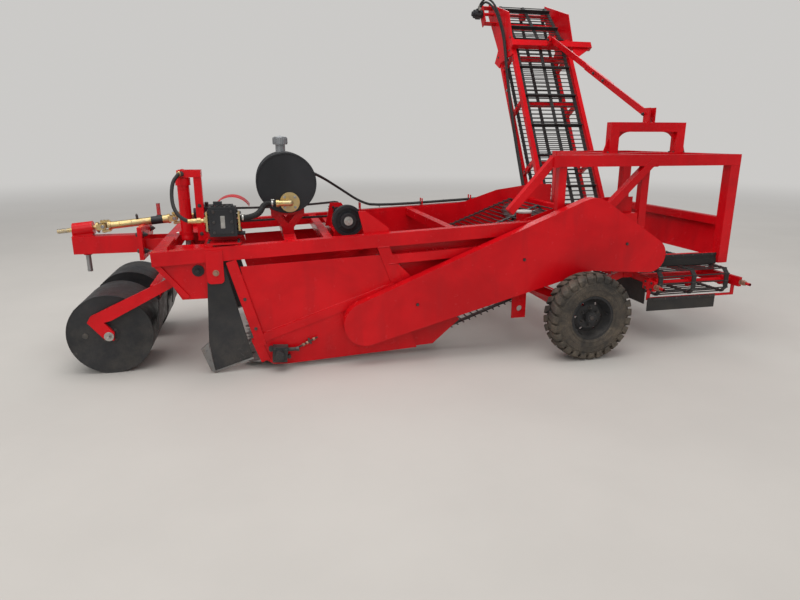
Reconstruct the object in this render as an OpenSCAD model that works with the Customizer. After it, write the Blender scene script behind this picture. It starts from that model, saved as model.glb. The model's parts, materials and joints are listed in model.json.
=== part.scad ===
// Towed potato harvester with a side elevator. Millimetres, +X to the rear, +Z up, ground at z = 0.
// Stations are measured from the wheel axle, and place() then moves the whole machine
// so that the origin is the middle of its footprint on the ground.

/* [Wheels] */
// Tyre diameter over the lugs
tyre_d = 690; // [600:5:760]
// Tyre width
tyre_w = 186; // [150:2:220]
// Rim diameter at the bead
rim_d = 322; // [280:2:360]
// Distance between the wheel centres
track = 2244; // [2240:2:2320]
// Hub cap diameter
hub_d = 96; // [80:2:110]

/* [Frame] */
// Half of the frame's width, to the outer face of the main beams
frame_half = 820; // [800:5:840]
// Width of the main beams
beam_w = 80; // [60:2:90]
// Height of the main beams
beam_h = 100; // [80:2:110]
// Slope of the main beams
beam_slope = 2.7; // [2:0.1:3.5]
// Centre height of the main beams at their front end
beam_front_z = 875; // [860:1:890]
// Wall of the sheet-metal panels
sheet_t = 4; // [3:1:8]

/* [Drawbar] */
// Width of the drawbar box
drawbar_w = 120; // [90:2:140]
// Height of the drawbar box
drawbar_h = 140; // [120:2:150]
// Radius of the tow pin
tow_pin_r = 19; // [16:0.5:22]
// Length of the tow pin below the drawbar
tow_pin_l = 150; // [120:5:180]
// Radius of the splined input stub
stub_r = 17.5; // [15:0.5:20]
// Slope of the input shaft
pto_slope = 5.4; // [4:0.1:6.5]

/* [Front rollers] */
// Roller diameter
roller_d = 600; // [540:5:620]
// Roller width
roller_w = 480; // [420:5:490]
// Gap between the two rollers
roller_gap = 330; // [320:5:380]
// Wall of the roller drums
roller_t = 8; // [5:1:12]

/* [Digging body] */
// Slope of the main rod web
web_slope = 21; // [20:0.5:22]
// Spacing of the web rods
rod_pitch = 56; // [40:1:70]
// Radius of the web rods
rod_r = 5.5; // [4:0.5:7]

/* [Rear frame] */
// Height of the top rails
top_z = 1570; // [1540:5:1600]
// Size of the top rails and rear posts
rail_h = 90; // [70:2:90]
// Height of the portal above the top rails
portal_h = 270; // [240:5:300]

/* [Elevator] */
// Width of the elevator over its side rails
elev_w = 780; // [740:5:780]
// Length of the elevator from its foot shaft
elev_l = 3530; // [3300:10:3600]
// Slope of the elevator as parked
elev_slope = 58.5; // [57:0.5:60]
// Height of a rubber flight
flight_h = 46; // [30:2:50]
// Spacing of the rubber flights
flight_pitch = 400; // [300:10:500]

/* [Tank] */
// Oil tank diameter
tank_d = 460; // [400:5:480]
// Oil tank length
tank_l = 560; // [480:5:600]

/* [Hidden] */
red = [0.78, 0.05, 0.07];
black = [0.06, 0.06, 0.07];
steel = [0.45, 0.45, 0.46];
gold = [0.72, 0.58, 0.26];
rubber = [0.09, 0.09, 0.09];
grey = [0.42, 0.43, 0.44];

// Rear posts and conveyor stations
post_x = 1450;
post_front = 627;
elev_x0 = 615;
elev_x1 = elev_x0 + elev_w;
elev_mid = (elev_x0 + elev_x1) / 2;
conv_x0 = 680;
conv_w = 780;
conv_x1 = conv_x0 + conv_w;
conv_mid = (conv_x0 + conv_x1) / 2;
beam_y = frame_half - beam_w / 2;
beam_x0 = -3240;
beam_x1 = 560;
rear_x = post_x + rail_h / 2;

// Input line from the tip of its stub
tip_x = -4050;
tip_z = 984;
// Elevator foot shaft
elev_y = 860;
elev_z = 520;
elev_front = 118;
elev_back = 282;

// Ends of the elevator's head plates, as [across, along] in the elevator's own frame
head_tip = [240, elev_l];
head_heel = [320, elev_l - 130];
function elev_reach(p) = elev_y + p[1] * cos(elev_slope) + p[0] * sin(elev_slope);

// Footprint of the whole machine, which sets the origin
x_min = tip_x - stub_r * sin(pto_slope);
y_min = -(track + tyre_w) / 2;
y_max = max(elev_reach(head_tip), elev_reach(head_heel));
brace_beam_l = elev_w + 270;
x_mid = (x_min + max(rear_x, elev_x0 - 20 + brace_beam_l)) / 2;
y_mid = (y_min + y_max) / 2;

module place() translate([-x_mid, -y_mid, 0]) children();

// Centre height of the main beams at station x
function beam_z(x) = beam_front_z + (x - beam_x0) * tan(beam_slope);

// Straight bar in a plane of constant y, from a to b as [x, z]
module bar_xz(a, b, y, w, h) {
    translate([a[0], y - w / 2, a[1]])
        rotate([0, -atan2(b[1] - a[1], b[0] - a[0]), 0])
            translate([0, 0, -h / 2]) cube([norm(b - a), w, h]);
}

// Straight bar in a plane of constant x, from a to b as [y, z]
module bar_yz(a, b, x, w, h) {
    translate([x - w / 2, a[0], a[1]])
        rotate([atan2(b[1] - a[1], b[0] - a[0]), 0, 0])
            translate([0, 0, -h / 2]) cube([w, norm(b - a), h]);
}

// Bar across the machine
module bar_y(x, z, y0, y1, w, h) translate([x - w / 2, y0, z - h / 2]) cube([w, y1 - y0, h]);

// Flat plate in a plane of constant y
module plate_xz(points, y, t) translate([0, y + t / 2, 0]) rotate([90, 0, 0]) linear_extrude(t) polygon(points);

// Round bars along X and Y
module rod_x(x0, x1, y, z, r) translate([x0, y, z]) rotate([0, 90, 0]) cylinder(h = x1 - x0, r = r, $fn = 32);
module rod_y(x, z, y0, y1, r) translate([x, y1, z]) rotate([90, 0, 0]) cylinder(h = y1 - y0, r = r, $fn = 48);

// Both sides of the machine
module both_sides() {
    children();
    mirror([0, 1, 0]) children();
}

// Points of an arc about c = [x, z]
function arc(c, r, from, to, steps) = [for (i = [0:steps])
    let (a = from + (to - from) * i / steps) [c[0] + r * cos(a), c[1] + r * sin(a)]];

// Corner cutting that turns a hose's route into a smooth curve
function cut_corners(p) = concat([p[0]],
    [for (i = [0:len(p) - 2]) each [p[i] * 0.75 + p[i + 1] * 0.25, p[i] * 0.25 + p[i + 1] * 0.75]],
    [p[len(p) - 1]]);
function unit(v) = v / norm(v);
function directions(p) = [for (i = [0:len(p) - 1]) unit(p[min(i + 1, len(p) - 1)] - p[max(i - 1, 0)])];
function side_vectors(dirs, side, i = 0) = i == len(dirs) ? [] :
    let (v = unit(side - dirs[i] * (side * dirs[i]))) concat([v], side_vectors(dirs, v, i + 1));

// Round hose swept along a list of points
hose_sides = 10;
module hose(points, r) {
    path = cut_corners(cut_corners(points));
    dirs = directions(path);
    sides = side_vectors(dirs, [0.31, 0.43, 0.85]);
    n = len(path);
    m = hose_sides;
    ring = [for (i = [0:n - 1], k = [0:m - 1])
        path[i] + r * (cos(360 * k / m) * sides[i] + sin(360 * k / m) * cross(dirs[i], sides[i]))];
    walls = [for (i = [0:n - 2], k = [0:m - 1]) let (a = i * m + k, b = i * m + (k + 1) % m)
        each [[a, a + m, b], [b, a + m, b + m]]];
    polyhedron(ring, concat(walls, [[for (k = [0:m - 1]) k]], [[for (k = [m - 1:-1:0]) (n - 1) * m + k]]));
}

// Main frame

module main_frame() {
    color(red) place() {
        main_rails(0);
        cross_bars(0);
        gusset_plate();
        filler_tube();
        for (x = hook_x) hose_hook(x);
    }
}

// Beams, lower rails and legs of both sides, grown by g where another piece is cut to meet them
module main_rails(g) both_sides() {
    w = beam_w + 2 * g;
    bar_xz([beam_x0 - g, beam_z(beam_x0)], [beam_x1 + g, beam_z(beam_x1)], beam_y, w, beam_h + 2 * g);
    bar_xz([rail_low_x - g, beam_z(rail_low_x) - rail_drop], [beam_x1, beam_z(beam_x1) - rail_drop],
        beam_y, w, rail_low_h + 2 * g);
    bar_xz([-1600, beam_z(-1600)], [-1470, 610 - g], beam_y, w - 2, 90 + 2 * g);
    bar_xz([beam_x1 - 30, beam_z(beam_x1)], [beam_x1 - 30, 560 - g], beam_y, w - 2, 80 + 2 * g);
    bar_xz([beam_x1 - 80, sill_z], [rear_x + g, sill_z], sill_y, 40 + 2 * g, sill_h + 2 * g);
}

// Bars across between the beams
module cross_bars(g) {
    for (x = [-1980, -1000, 340])
        bar_y(x, beam_z(x), -beam_y, beam_y, 70 + 2 * g, 70 + 2 * g);
    bar_y(beam_x1 - 30, 600, -beam_y, beam_y, 60 + 2 * g, 60 + 2 * g);
}
seat_gap = 0.2;

// Lower rear rails that the posts stand on
sill_z = 700;
sill_h = 60;
sill_y = 760;
rail_drop = 150;
rail_low_h = 70;
rail_low_x = -1540;
hook_x = [-1500, -860, -340, 150];

// Triangular plate that carries the near end of the pulley shaft
module gusset_plate() {
    plate_xz([[-1705, beam_z(-1705)], [-1760, 1170], [-1700, 1170], [-1530, 1040], [-1500, beam_z(-1500)]],
        -beam_y + 30, 10);
}

// Upright tube with a pale cap inside the near beam
module filler_tube() {
    translate([-330, -560, beam_z(-330) - 26]) cylinder(h = 116, r = 62);
    filler_bracket(0);
}

module filler_bracket(g)
    translate([-330, -690, beam_z(-330) - 10]) cube([60 + 2 * g, 160, 12 + 2 * g], center = true);

// Hook that holds the hose bundle on the far beam
module hose_hook(x) {
    translate([x - 6, beam_y - 38, beam_z(x) + beam_h / 2 - 2]) cube([12, 76, 14]);
    for (y = [beam_y - 38, beam_y + 30])
        translate([x - 6, y, beam_z(x) + beam_h / 2]) cube([12, 8, 70]);
}

// Front frame

pivot_x = -2935;
pivot_z = 780;
arm_pin_r = 22;

module front_frame() {
    color(red) place() difference() {
        front_parts();
        main_rails(seat_gap);
    }
}

// Cross beam behind the troughs with the post that holds the lift cylinder's upper eye
module cylinder_post() {
    color(red) place() difference() {
        union() {
            bar_y(-2850, beam_z(-2850) + 30, -beam_y, beam_y, 60, 70);
            cylinder_tower();
        }
        main_rails(seat_gap);
    }
}

// Flange plate with its cross beam, and what hangs between and below the two cross beams
module front_parts() {
    bar_y(beam_x0 + 50, beam_z(beam_x0), -cross_half, cross_half, 100, beam_h);
    difference() {
        translate([flange_x, -flange_half, flange_z0]) cube([flange_t, 2 * flange_half, flange_h]);
        hitch_holes();
        shaft_notch();
    }
    both_sides() translate([flange_x + flange_t - 1, 120, 830]) cube([gusset_l, 16, 90]);
    both_sides() {
        trough();
        pivot_plate();
        coulter_hanger();
    }
}
cross_half = beam_y - beam_w / 2 - seat_gap;

// Trough between the two cross beams
trough_x0 = beam_x0 + 100 + seat_gap;
trough_l = -2880 - seat_gap - trough_x0;
module trough() {
    translate([trough_x0, 330, beam_z(-3100) + 6]) cube([trough_l, 400, 8]);
    for (x = [trough_x0, trough_x0 + trough_l - 8])
        translate([x, 330, beam_z(-3100) + 10]) cube([8, 400, 62]);
}

// Plate under a beam that holds the roller carriage
module pivot_plate() {
    difference() {
        union() {
            plate_xz([[-3215, 850], [-3060, 570], [-2880, 570], [-2860, 880]], beam_y, 14);
            bar_xz([-3215, 835], [-3020, 585], beam_y, 50, 36);
        }
        rod_y(pivot_x, pivot_z, beam_y - 60, beam_y + 60, arm_pin_r + 0.05);
    }
}

// Stands of the pump, the tank and the pulley shaft
module machine_stands() {
    color(red) place() difference() {
        union() {
            pump_stand();
            tank_bracket();
            shaft_bearing();
        }
        main_rails(seat_gap);
        translate([0, -seat_gap, 0]) gusset_plate();
        translate([0, seat_gap, 0]) gusset_plate();
    }
}

// Two flange plates bolted face to face
flange_x = -3402;
flange_t = 16;
flange_half = 250;
flange_z0 = 773;
flange_h = 255;
flange_gap = 0.2;
gusset_l = beam_x0 - flange_x - flange_t + 6;
module hitch_holes() {
    for (y = [-180, 180], z = [835, 965]) rod_x(flange_x - 2 * flange_t, flange_x + 2 * flange_t, y, z, 20);
}

// Room for the input shaft over the plates
module shaft_notch() input_line(560) cylinder(h = 200, r = 56);

// Plate with rounded corners that a coulter hangs on
module coulter_hanger() {
    difference() {
        plate_xz(concat(arc([-2845, 715], 30, 180, 270, 6), arc([-2785, 715], 30, 270, 360, 6),
            [[-2755, beam_z(-2755) + 30], [-2875, beam_z(-2875) + 30]]), frame_half + hanger_t / 2, hanger_t);
        rod_y(-2810, hanger_z, frame_half - 10, frame_half + 30, hanger_hole_r);
    }
}
hanger_t = 12;
hanger_z = 765;
hanger_hole_r = 13.5;

cyl_x = -3060;
cyl_y = -130;
cyl_top_z = 1430;

// Post and link that hold the upper end of the cylinder
module cylinder_tower() {
    translate([-2975, cyl_y - 48, 900]) cube([60, 56, 540]);
    translate([-2976, cyl_y - 44, 902]) cube([110, 48, 50]);
    for (y = [cyl_y - 56, cyl_y + 44])
        translate([-3095, y, cyl_top_z - 28]) cube([180, 12, 56]);
    translate([-2975, cyl_y - 50, cyl_top_z - 28]) cube([60, 100, 56]);
    rod_y(cyl_x, cyl_top_z, cyl_y - 60, cyl_y + 60, 12);
}

// Upright plate that carries the pump
module pump_stand() {
    z = beam_z(-2850) + 65 + seat_gap;
    translate([-2860, -640, z]) cube([240, 14, 150]);
    translate([-2860, -780, z]) cube([240, 150, 12]);
    translate([-2644, -780, z - 50]) cube([14, 150, 56]);
}

tank_x = -2265;
tank_z = 1365;
tank_y0 = -450;
tank_foot_z = tank_z - 610;

// Y-shaped feet under the oil tank
module tank_bracket() {
    for (y = [tank_y0 + 60, tank_y0 + tank_l - 80]) {
        difference() {
            plate_xz([for (p = [[-130, 425], [-130, 360], [-45, 262], [-45, 195], [45, 195], [45, 262],
                [130, 360], [130, 425]]) [tank_x + p[0], tank_foot_z + p[1]]], y, 14);
            bar_y(tank_x, 935, -beam_y, beam_y, 120, 70 + 2 * seat_gap);
            plate_xz([for (p = [[-58, 360], [58, 360], [0, 292]]) [tank_x + p[0], tank_foot_z + p[1]]], y, 20);
            rod_y(tank_x, tank_z, tank_y0 - 10, tank_y0 + tank_l + 10, tank_d / 2 + 0.3);
        }
    }
    bar_y(tank_x, 935, -beam_y, beam_y, 90, 70);
}

shaft_x = -1820;
shaft_z = 1085;

// Bearing plates of the pulley shaft
module shaft_bearing() {
    for (y = [-540, 60]) difference() {
        plate_xz([[shaft_x - 110, 940], [shaft_x + 180, 940], [shaft_x + 40, shaft_z + 70],
            [shaft_x - 60, shaft_z + 70]], y, 14);
        bar_y(shaft_x + 35, 925, -beam_y, beam_y, 400, 60 + 2 * seat_gap);
        rod_y(shaft_x, shaft_z, y - 20, y + 20, pulley_shaft_r + 0.05);
    }
    bar_y(shaft_x - 30, 925, -beam_y, beam_y, 90, 60);
}
pulley_shaft_r = 17.5;

// Drawbar

drawbar_x0 = -3940;
drawbar_z = 875;
tow_pin_x = -3850;
module drawbar() {
    color(red) place() {
        difference() {
            union() {
                translate([drawbar_x0, -drawbar_w / 2, drawbar_z - drawbar_h / 2])
                    cube([flange_x - flange_t - drawbar_x0, drawbar_w, drawbar_h]);
                // Flange plate bolted to the front frame
                translate([flange_x - flange_t - flange_gap, -flange_half, flange_z0])
                    cube([flange_t, 2 * flange_half, flange_h]);
            }
            hitch_holes();
            shaft_notch();
        }
        // Bearing tube of the input shaft and its foot
        difference() {
            union() {
                input_line(118) cylinder(h = 150, r = 52);
                translate([drawbar_x0, -34, drawbar_z + drawbar_h / 2 - 2]) cube([150, 68, 50]);
            }
            input_line(100) cylinder(h = 190, r = stub_r + 0.05);
        }
        // Bracket of the far stud
        translate([flange_x - flange_t - flange_gap, 234, flange_z0 + 120]) cube([flange_t, 136, flange_h - 120]);
        translate([flange_x - flange_t - flange_gap, 250, flange_z0 + flange_h - 16]) cube([150, 120, 16]);
        translate([-3330, 310, flange_z0 + flange_h - 1]) cylinder(h = 130, r = 16);
    }
}

// The input shaft's line, with z along it from the tip of the stub
module input_line(s) {
    translate([tip_x, 0, tip_z]) rotate([0, 90 - pto_slope, 0]) translate([0, 0, s]) children();
}

module tow_pin() {
    color(steel) place()
        translate([tow_pin_x, 0, drawbar_z - drawbar_h / 2 - tow_pin_l]) cylinder(h = tow_pin_l, r = tow_pin_r);
}

// Input shaft with its two universal joints
module pto_shaft() {
    color(gold) place() {
        input_line(0) cylinder(h = 290, r = stub_r);
        input_line(290) joint_half();
        input_line(400) rotate([0, 0, 90]) mirror([0, 0, 1]) joint_half();
        input_line(345) {
            for (a = [0, 90]) rotate([0, 0, a]) rotate([90, 0, 0]) translate([0, 0, -48]) cylinder(h = 96, r = 11);
        }
        input_line(399) cylinder(h = 310, r = 30);
        input_line(590) translate([-14, -14, 0]) cube([28, 60, 34]);
        input_line(800) cylinder(h = 40, r = 34);
        input_line(839) joint_half();
        input_line(894) for (a = [0, 90]) rotate([0, 0, a]) rotate([90, 0, 0]) translate([0, 0, -48]) cylinder(h = 96, r = 11);
        input_line(949) rotate([0, 0, 90]) mirror([0, 0, 1]) joint_half();
        input_line(948) cylinder(h = socket_s + socket_l - 4 - 948, r = shaft_end_r);
    }
}

// Socket of the gearbox that the shaft runs in
socket_s = 1050;
socket_l = 32;
shaft_end_r = 24;

// One yoke of a universal joint, opening along +z
module joint_half() {
    cylinder(h = 18, r = 38);
    for (s = [-1, 1]) translate([-22, s * 38 - 8, 10]) cube([44, 16, 62]);
}

module pto_tube() {
    color(black) place() input_line(709.3) cylinder(h = 90.4, r = 33);
}

// Hydraulics and drive

pump_x = -2740;
pump_z = 1120;
pump_y = -650;
module hydraulic_pump() {
    color(black) place() translate([pump_x, pump_y, pump_z]) {
        translate([-95, -110, -105]) cube([190, 110, 210]);
        translate([-75, -118, -85]) cube([150, 8.2, 170]);
        for (s = [-1, 1], k = [-2:2])
            translate([s * 95 - (s > 0 ? 0.2 : 9.8), -96, k * 36 - 10]) cube([10, 84, 20]);
        for (k = [-2:2]) translate([k * 34 - 8, -100, 104]) cube([16, 84, 12]);
        rod_y(0, 0, -0.2, 9.7, 60);
        translate([-60, -80, 115]) cube([60, 40, 26]);
        rod_x(95, 150, -60, -90, 14);
    }
}

gearbox_z = beam_z(-2850) + 65 + seat_gap;
module gearbox() {
    color(black) place() {
        difference() {
            union() {
                translate([-2960, -120, gearbox_z]) cube([260, 240, 1160 - gearbox_z]);
                input_line(socket_s) cylinder(h = 60, r = 60);
            }
            input_line(socket_s - 20) cylinder(h = socket_l + 20, r = shaft_end_r + 0.05, $fn = 48);
        }
        rod_y(-2830, 1055, 119.8, 180, 55);
        rod_y(-2830, 1055, 179.8, 620, 22);
    }
}

// Curved cover over the drive behind the gearbox
module gearbox_hood() {
    color(red) place() intersection() {
        difference() {
            translate([-2700, 0, 1075]) rotate([90, 0, 0]) cylinder(h = 230, r = 165, center = true, $fn = 64);
            translate([-2700, 0, 1075]) rotate([90, 0, 0]) cylinder(h = 300, r = 165 - sheet_t, center = true, $fn = 64);
        }
        translate([-2840, -200, 1160.2]) cube([400, 400, 200]);
    }
}

module oil_tank() {
    color(black) place() difference() {
        union() {
            rod_y(tank_x, tank_z, tank_y0, tank_y0 + tank_l, tank_d / 2);
            for (y = [tank_y0 + 0.2, tank_y0 + tank_l - 12.2]) rod_y(tank_x, tank_z, y, y + 12, tank_d / 2 + 0.2);
        }
        rod_y(tank_x, tank_z, tank_y0 + sheet_t, tank_y0 + tank_l - sheet_t, tank_d / 2 - sheet_t);
        rod_y(tank_x + 18, tank_z - 145, tank_y0 - 10, tank_y0 + 10, 22);
    }
}

module tank_cap() {
    color(grey) place() translate([tank_x - 25, tank_y0 + 250, tank_z + tank_d / 2 - 3]) difference() {
        union() {
            cylinder(h = 60, r = 38);
            translate([0, 0, 59]) cylinder(h = 56, r = 56);
        }
        translate([25, 300, -tank_d / 2 + 3]) rotate([90, 0, 0]) cylinder(h = 600, r = tank_d / 2 + 0.3, $fn = 64);
    }
}

// Suction flange, elbow and unions of the hoses
module fittings() {
    color(gold) place() {
        difference() {
            rod_y(tank_x + 18, tank_z - 145, tank_y0 - 18, tank_y0 - 0.3, 76);
            for (a = [45:90:315])
                rod_y(tank_x + 18 + 56 * cos(a), tank_z - 145 + 56 * sin(a), tank_y0 - 30, tank_y0 + 10, 6);
        }
        rod_y(tank_x + 18, tank_z - 145, tank_y0 - 80, tank_y0 - 17.8, 22);
        translate([tank_x + 18, tank_y0 - 80, tank_z - 145]) sphere(r = 24, $fn = 24);
        rod_x(tank_x - 66, tank_x + 18, tank_y0 - 80, tank_z - 145, 22);
        rod_x(tank_x - 90, tank_x - 66, tank_y0 - 80, tank_z - 145, 28);
        // Flanges on both sides of the pump
        for (s = [-1, 1]) translate([pump_x + s * 112 - 6.5, pump_y - 95, pump_z - 68]) cube([13, 80, 136]);
        rod_x(pump_x - 195, pump_x - 118, pump_y - 55, pump_z + 5, 15);
        translate([pump_x - 180, pump_y - 55, pump_z + 5]) rotate([0, 90, 0]) cylinder(h = 26, r = 22, $fn = 6);
    }
}

// Hoses held along their route: [x, y, z] points by hand
suction_hose = [[pump_x + 118.8, pump_y - 55, pump_z + 20], [pump_x + 180, pump_y - 55, pump_z + 20],
    [pump_x + 260, pump_y - 40, pump_z + 45], [tank_x - 180, tank_y0 - 80, tank_z - 145], [tank_x - 90.3, tank_y0 - 80, tank_z - 145]];
cylinder_hose = [[pump_x - 195.3, pump_y - 55, pump_z + 5], [pump_x - 250, pump_y - 55, pump_z + 5], [-3075, -520, 1150],
    [-3125, -380, 1230], [-3120, -300, 1370], [cyl_x - 15, -240, cyl_top_z], [cyl_x - 15, cyl_y - 60.3, cyl_top_z]];
bundle_points = [[tank_x + 150, 110.6, tank_z + 60], [tank_x + 150, 200, tank_z + 60], [-1950, 420, 1370],
    [-1700, beam_y - 40, 1210], [-1500, beam_y, 1075], [-1340, beam_y, 1027.2], [-340, beam_y, 1074.4], [150, beam_y, 1097.5],
    [360, beam_y + 20, 1130], [500, 870, 1090], [545, 940, 960],
    [545, 910, 700], [545, 885, 570], [552, 845, 515], [572, 835, 515], [590.7, 835, 515]];
bundle_steps = [-1, 1];
module hoses() {
    color(rubber) place() {
        hose(suction_hose, 21);
        hose(cylinder_hose, 14);
        for (k = bundle_steps) hose([for (p = bundle_points) p + [0, 0, 12] + (p[0] < -2000 ? [k * 13, 0, 0] : [0, k * 13, 0])], 12);
    }
}

module pulley_shaft() {
    color(grey) place() rod_y(shaft_x, shaft_z, -640, 90, pulley_shaft_r);
}

module belt_pulley() {
    color(black) place() difference() {
        union() {
            rod_y(shaft_x, shaft_z, -650, -560, 62);
            difference() {
                rod_y(shaft_x, shaft_z, -640, -570, 118);
                for (y = [-650, -590]) rod_y(shaft_x, shaft_z, y, y + 30, 96);
                for (y = [-622, -600]) translate([shaft_x, y, shaft_z]) rotate([90, 0, 0]) groove_ring();
            }
        }
        rod_y(shaft_x, shaft_z, -660, -550, pulley_shaft_r + 0.02);
    }
}

module groove_ring() rotate_extrude($fn = 64) polygon([[106, 0], [119, -8], [119, 8]]);

// Digging body

module body_sides() {
    color(red) place() both_sides() difference() {
        union() {
            plate_xz([[-2640, 800], [-1540, beam_z(-1540) - 110], [-1300, 600], [-960, 290], [-1180, 100], [-1320, 92], [-2380, 40],
                [-2460, 110], [-2560, 250]], frame_half - 10, sheet_t);
            plate_xz([[-2560, 250], [-2490, 70], [-2440, 38], [-2330, 32], [-1320, 84], [-1320, 92], [-1500, 600], [-2540, 240]],
                frame_half + 2, 12);
            // Front channel and the slanting rail
            bar_xz([-2700, 845], [-2520, 190], frame_half - 2, 40, 74);
            bar_xz([-2560, 234], [-1500, 590], frame_half - 2, 34, 62);
            translate([-2530, frame_half - 36, 60]) rotate([0, -20, 0]) cube([70, 52, 190]);
        }
        main_rails(seat_gap);
    }
}

// Long black plates in front of the body, and their grey shoes
module coulters() {
    color(black) place() both_sides() difference() {
        plate_xz([[-2870, 800], [-2745, 800], [-2590, 105], [-2870, 20], [-2900, 240]], frame_half - 3.3, 6);
        rod_y(-2810, 765, frame_half - 20, frame_half + 20, 13.5);
    }
}

module shares() {
    color(steel) place() {
        both_sides() {
            plate_xz([[-2588, 105], [-2588, 92], [-2870, 7], [-2900, 20], [-2960, 195], [-2905, 240], [-2870, 20]],
                frame_half - 3.3, 22);
        }
        blade();
    }
}

blade_n = 7;
module blade() {
    half = frame_half - 36.3;
    w = 2 * half / blade_n;
    translate([-2560, 0, 46]) rotate([0, -12, 0]) {
        translate([0, -half, 0]) cube([190, 2 * half, 12]);
        for (k = [0:blade_n - 1])
            translate([0, -half + (k + 0.5) * w, 0])
                linear_extrude(12) polygon([[0.5, -w / 2 + 6], [0.5, w / 2 - 6], [-110, 0]]);
    }
}

module front_motor() {
    color(black) place() translate([-2395, -frame_half - 8.3, 140]) {
        rotate([90, 0, 0]) linear_extrude(78) polygon([[-55, -62], [52, -70], [66, 48], [-46, 56]]);
        rod_y(0, 0, -122, -77.8, 34);
        rod_y(-60, 36, -60, -20, 18);
        rod_x(64, 130, -40, 20, 14);
        rod_y(70, -35, -60, -20, 13);
    }
}

// Sheets beside the web, behind the digging body
module side_sheets() {
    color(red) place() difference() {
        both_sides() plate_xz([[-1560, 900], [-1310, 590], [-960, 290], [-540, 470], [120, 690], [560, 700], [560, 1230],
            [315, 1230], [-60, 1180], [-400, 1070], [-560, 1040], [-1560, 960]], sheet_y, sheet_t);
        cross_bars(seat_gap);
        filler_bracket(seat_gap);
        bar_y(-455, 590, -frame_half, frame_half, 60 + 2 * seat_gap, 60 + 2 * seat_gap);
    }
}
sheet_y = beam_y - beam_w / 2 - 6.3;

// Long chain guard on the near side: circles as [x, z, r]
guard_front = [-1740, 335, 170];
guard_peak = [100, 1045, 200];
guard_nose = [640, 765, 143];
guard_y = -frame_half - 18.3;
guard_w = 100;

function heading(a, b) = atan2(b[1] - a[1], b[0] - a[0]);
function tangent_angle(a, b) = heading(a, b) + acos((a[2] - b[2]) / norm([b[0] - a[0], b[1] - a[1]]));
guard_rise = tangent_angle(guard_front, guard_peak);
guard_fall = tangent_angle(guard_peak, guard_nose);
guard_knee = [120, 661];
guard_low = 285;

module guard_outline(inset) {
    polygon(concat(
        arc(guard_front, guard_front[2] - inset, guard_rise, guard_low, 16),
        [guard_knee + [0, inset]],
        arc(guard_nose, guard_nose[2] - inset, 270, 360 + guard_fall, 14),
        arc(guard_peak, guard_peak[2] - inset, 360 + guard_fall, 360 + guard_rise, 6)));
}

module chain_guard() {
    color(red) place() translate([0, guard_y, 0]) rotate([90, 0, 0]) difference() {
        linear_extrude(guard_w) guard_outline(0);
        translate([0, 0, -1]) linear_extrude(guard_w - sheet_t + 1) guard_outline(sheet_t + 1);
        for (p = [[-1342, 467], [-479, 779], [414, 870]]) translate([p[0], p[1], 0]) cylinder(h = 200, r = 13);
    }
}

// Rod webs

// Main web loop as [x, z]
web_half = 705;
web_loop = [[-2290, 190], [60, 1092], [190, 960], [-420, 395], [-1190, 115], [-2290, 92]];
belt_w = 44;
belt_t = 9;

// Belts along a closed loop, as a flat outline
module loop_outline(loop, t) {
    n = len(loop);
    for (i = [0:n - 1]) {
        a = loop[i];
        b = loop[(i + 1) % n];
        translate(a) rotate(atan2(b[1] - a[1], b[0] - a[0])) translate([0, -t / 2]) square([norm(b - a), t]);
        translate(a) circle(r = t / 2, $fn = 24);
    }
}

// Places of the rods along a closed loop
function loop_rods(loop, pitch) = [for (i = [0:len(loop) - 1])
    let (a = loop[i], b = loop[(i + 1) % len(loop)], n = max(1, round(norm(b - a) / pitch)))
    for (k = [0:n - 1]) a + (b - a) * k / n];

module main_web() {
    color(black) place() {
        for (y = [-web_half + 60, 0, web_half - 60])
            translate([0, y + belt_w / 2, 0]) rotate([90, 0, 0]) linear_extrude(belt_w) loop_outline(web_loop, belt_t);
        for (p = loop_rods(web_loop, rod_pitch)) rod_y(p[0], p[1], -web_half, web_half, rod_r);
    }
}

// Shafts and rollers that carry the web
web_carriers = [[-2250, 143, 34, frame_half - 12.3], [60, 972, 78, sheet_y - 2.2],
    [-450, 444.2, 50.5, frame_half + 5.8], [-1200.5, 171.3, 50.5, frame_half - 12.3]];
belt_y = [-web_half + 60, 0, web_half - 60];
module web_shafts() {
    color(steel) place() for (c = web_carriers) {
        rod_y(c[0], c[1], -c[3], c[3], 20);
        for (y = belt_y) rod_y(c[0], c[1], y - 30, y + 30, c[2]);
    }
}

// Axle and wheels

axle_z = tyre_d / 2;
wheel_y = track / 2;
hub_inner = wheel_y - tyre_w / 2 - 30;
spindle_r = 24;
module axle() {
    color(red) place() difference() {
        axle_parts();
        main_rails(seat_gap);
    }
}

module axle_parts() {
    union() {
        translate([-50, -hub_inner + 30, axle_z - 50]) cube([100, 2 * hub_inner - 60, 100]);
        both_sides() {
            rod_y(0, axle_z, hub_inner - 30.2, wheel_y + 30, spindle_r);
            // Hanger plates and their braces up to the frame
            translate([-60, frame_half - 60, axle_z + 49.8]) cube([120, 16, 320]);
            bar_xz([-40, axle_z + 60], [-420, 560], frame_half - 30, 50, 60);
            bar_xz([40, axle_z + 60], [500, 600], frame_half - 30, 50, 60);
            difference() {
                translate([-520, frame_half + 6, 275]) cube([120, 12, 330]);
                rod_y(-455, 355, frame_half, frame_half + 30, 24);
            }
            translate([-520, frame_half - 60, 560]) cube([120, 70, 60]);
            bar_xz([-460, 590], [-460, 720], frame_half - 40, 50, 70);
        }
        bar_y(-455, 590, -frame_half + 30, frame_half - 30, 60, 60);
    }
}

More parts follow.
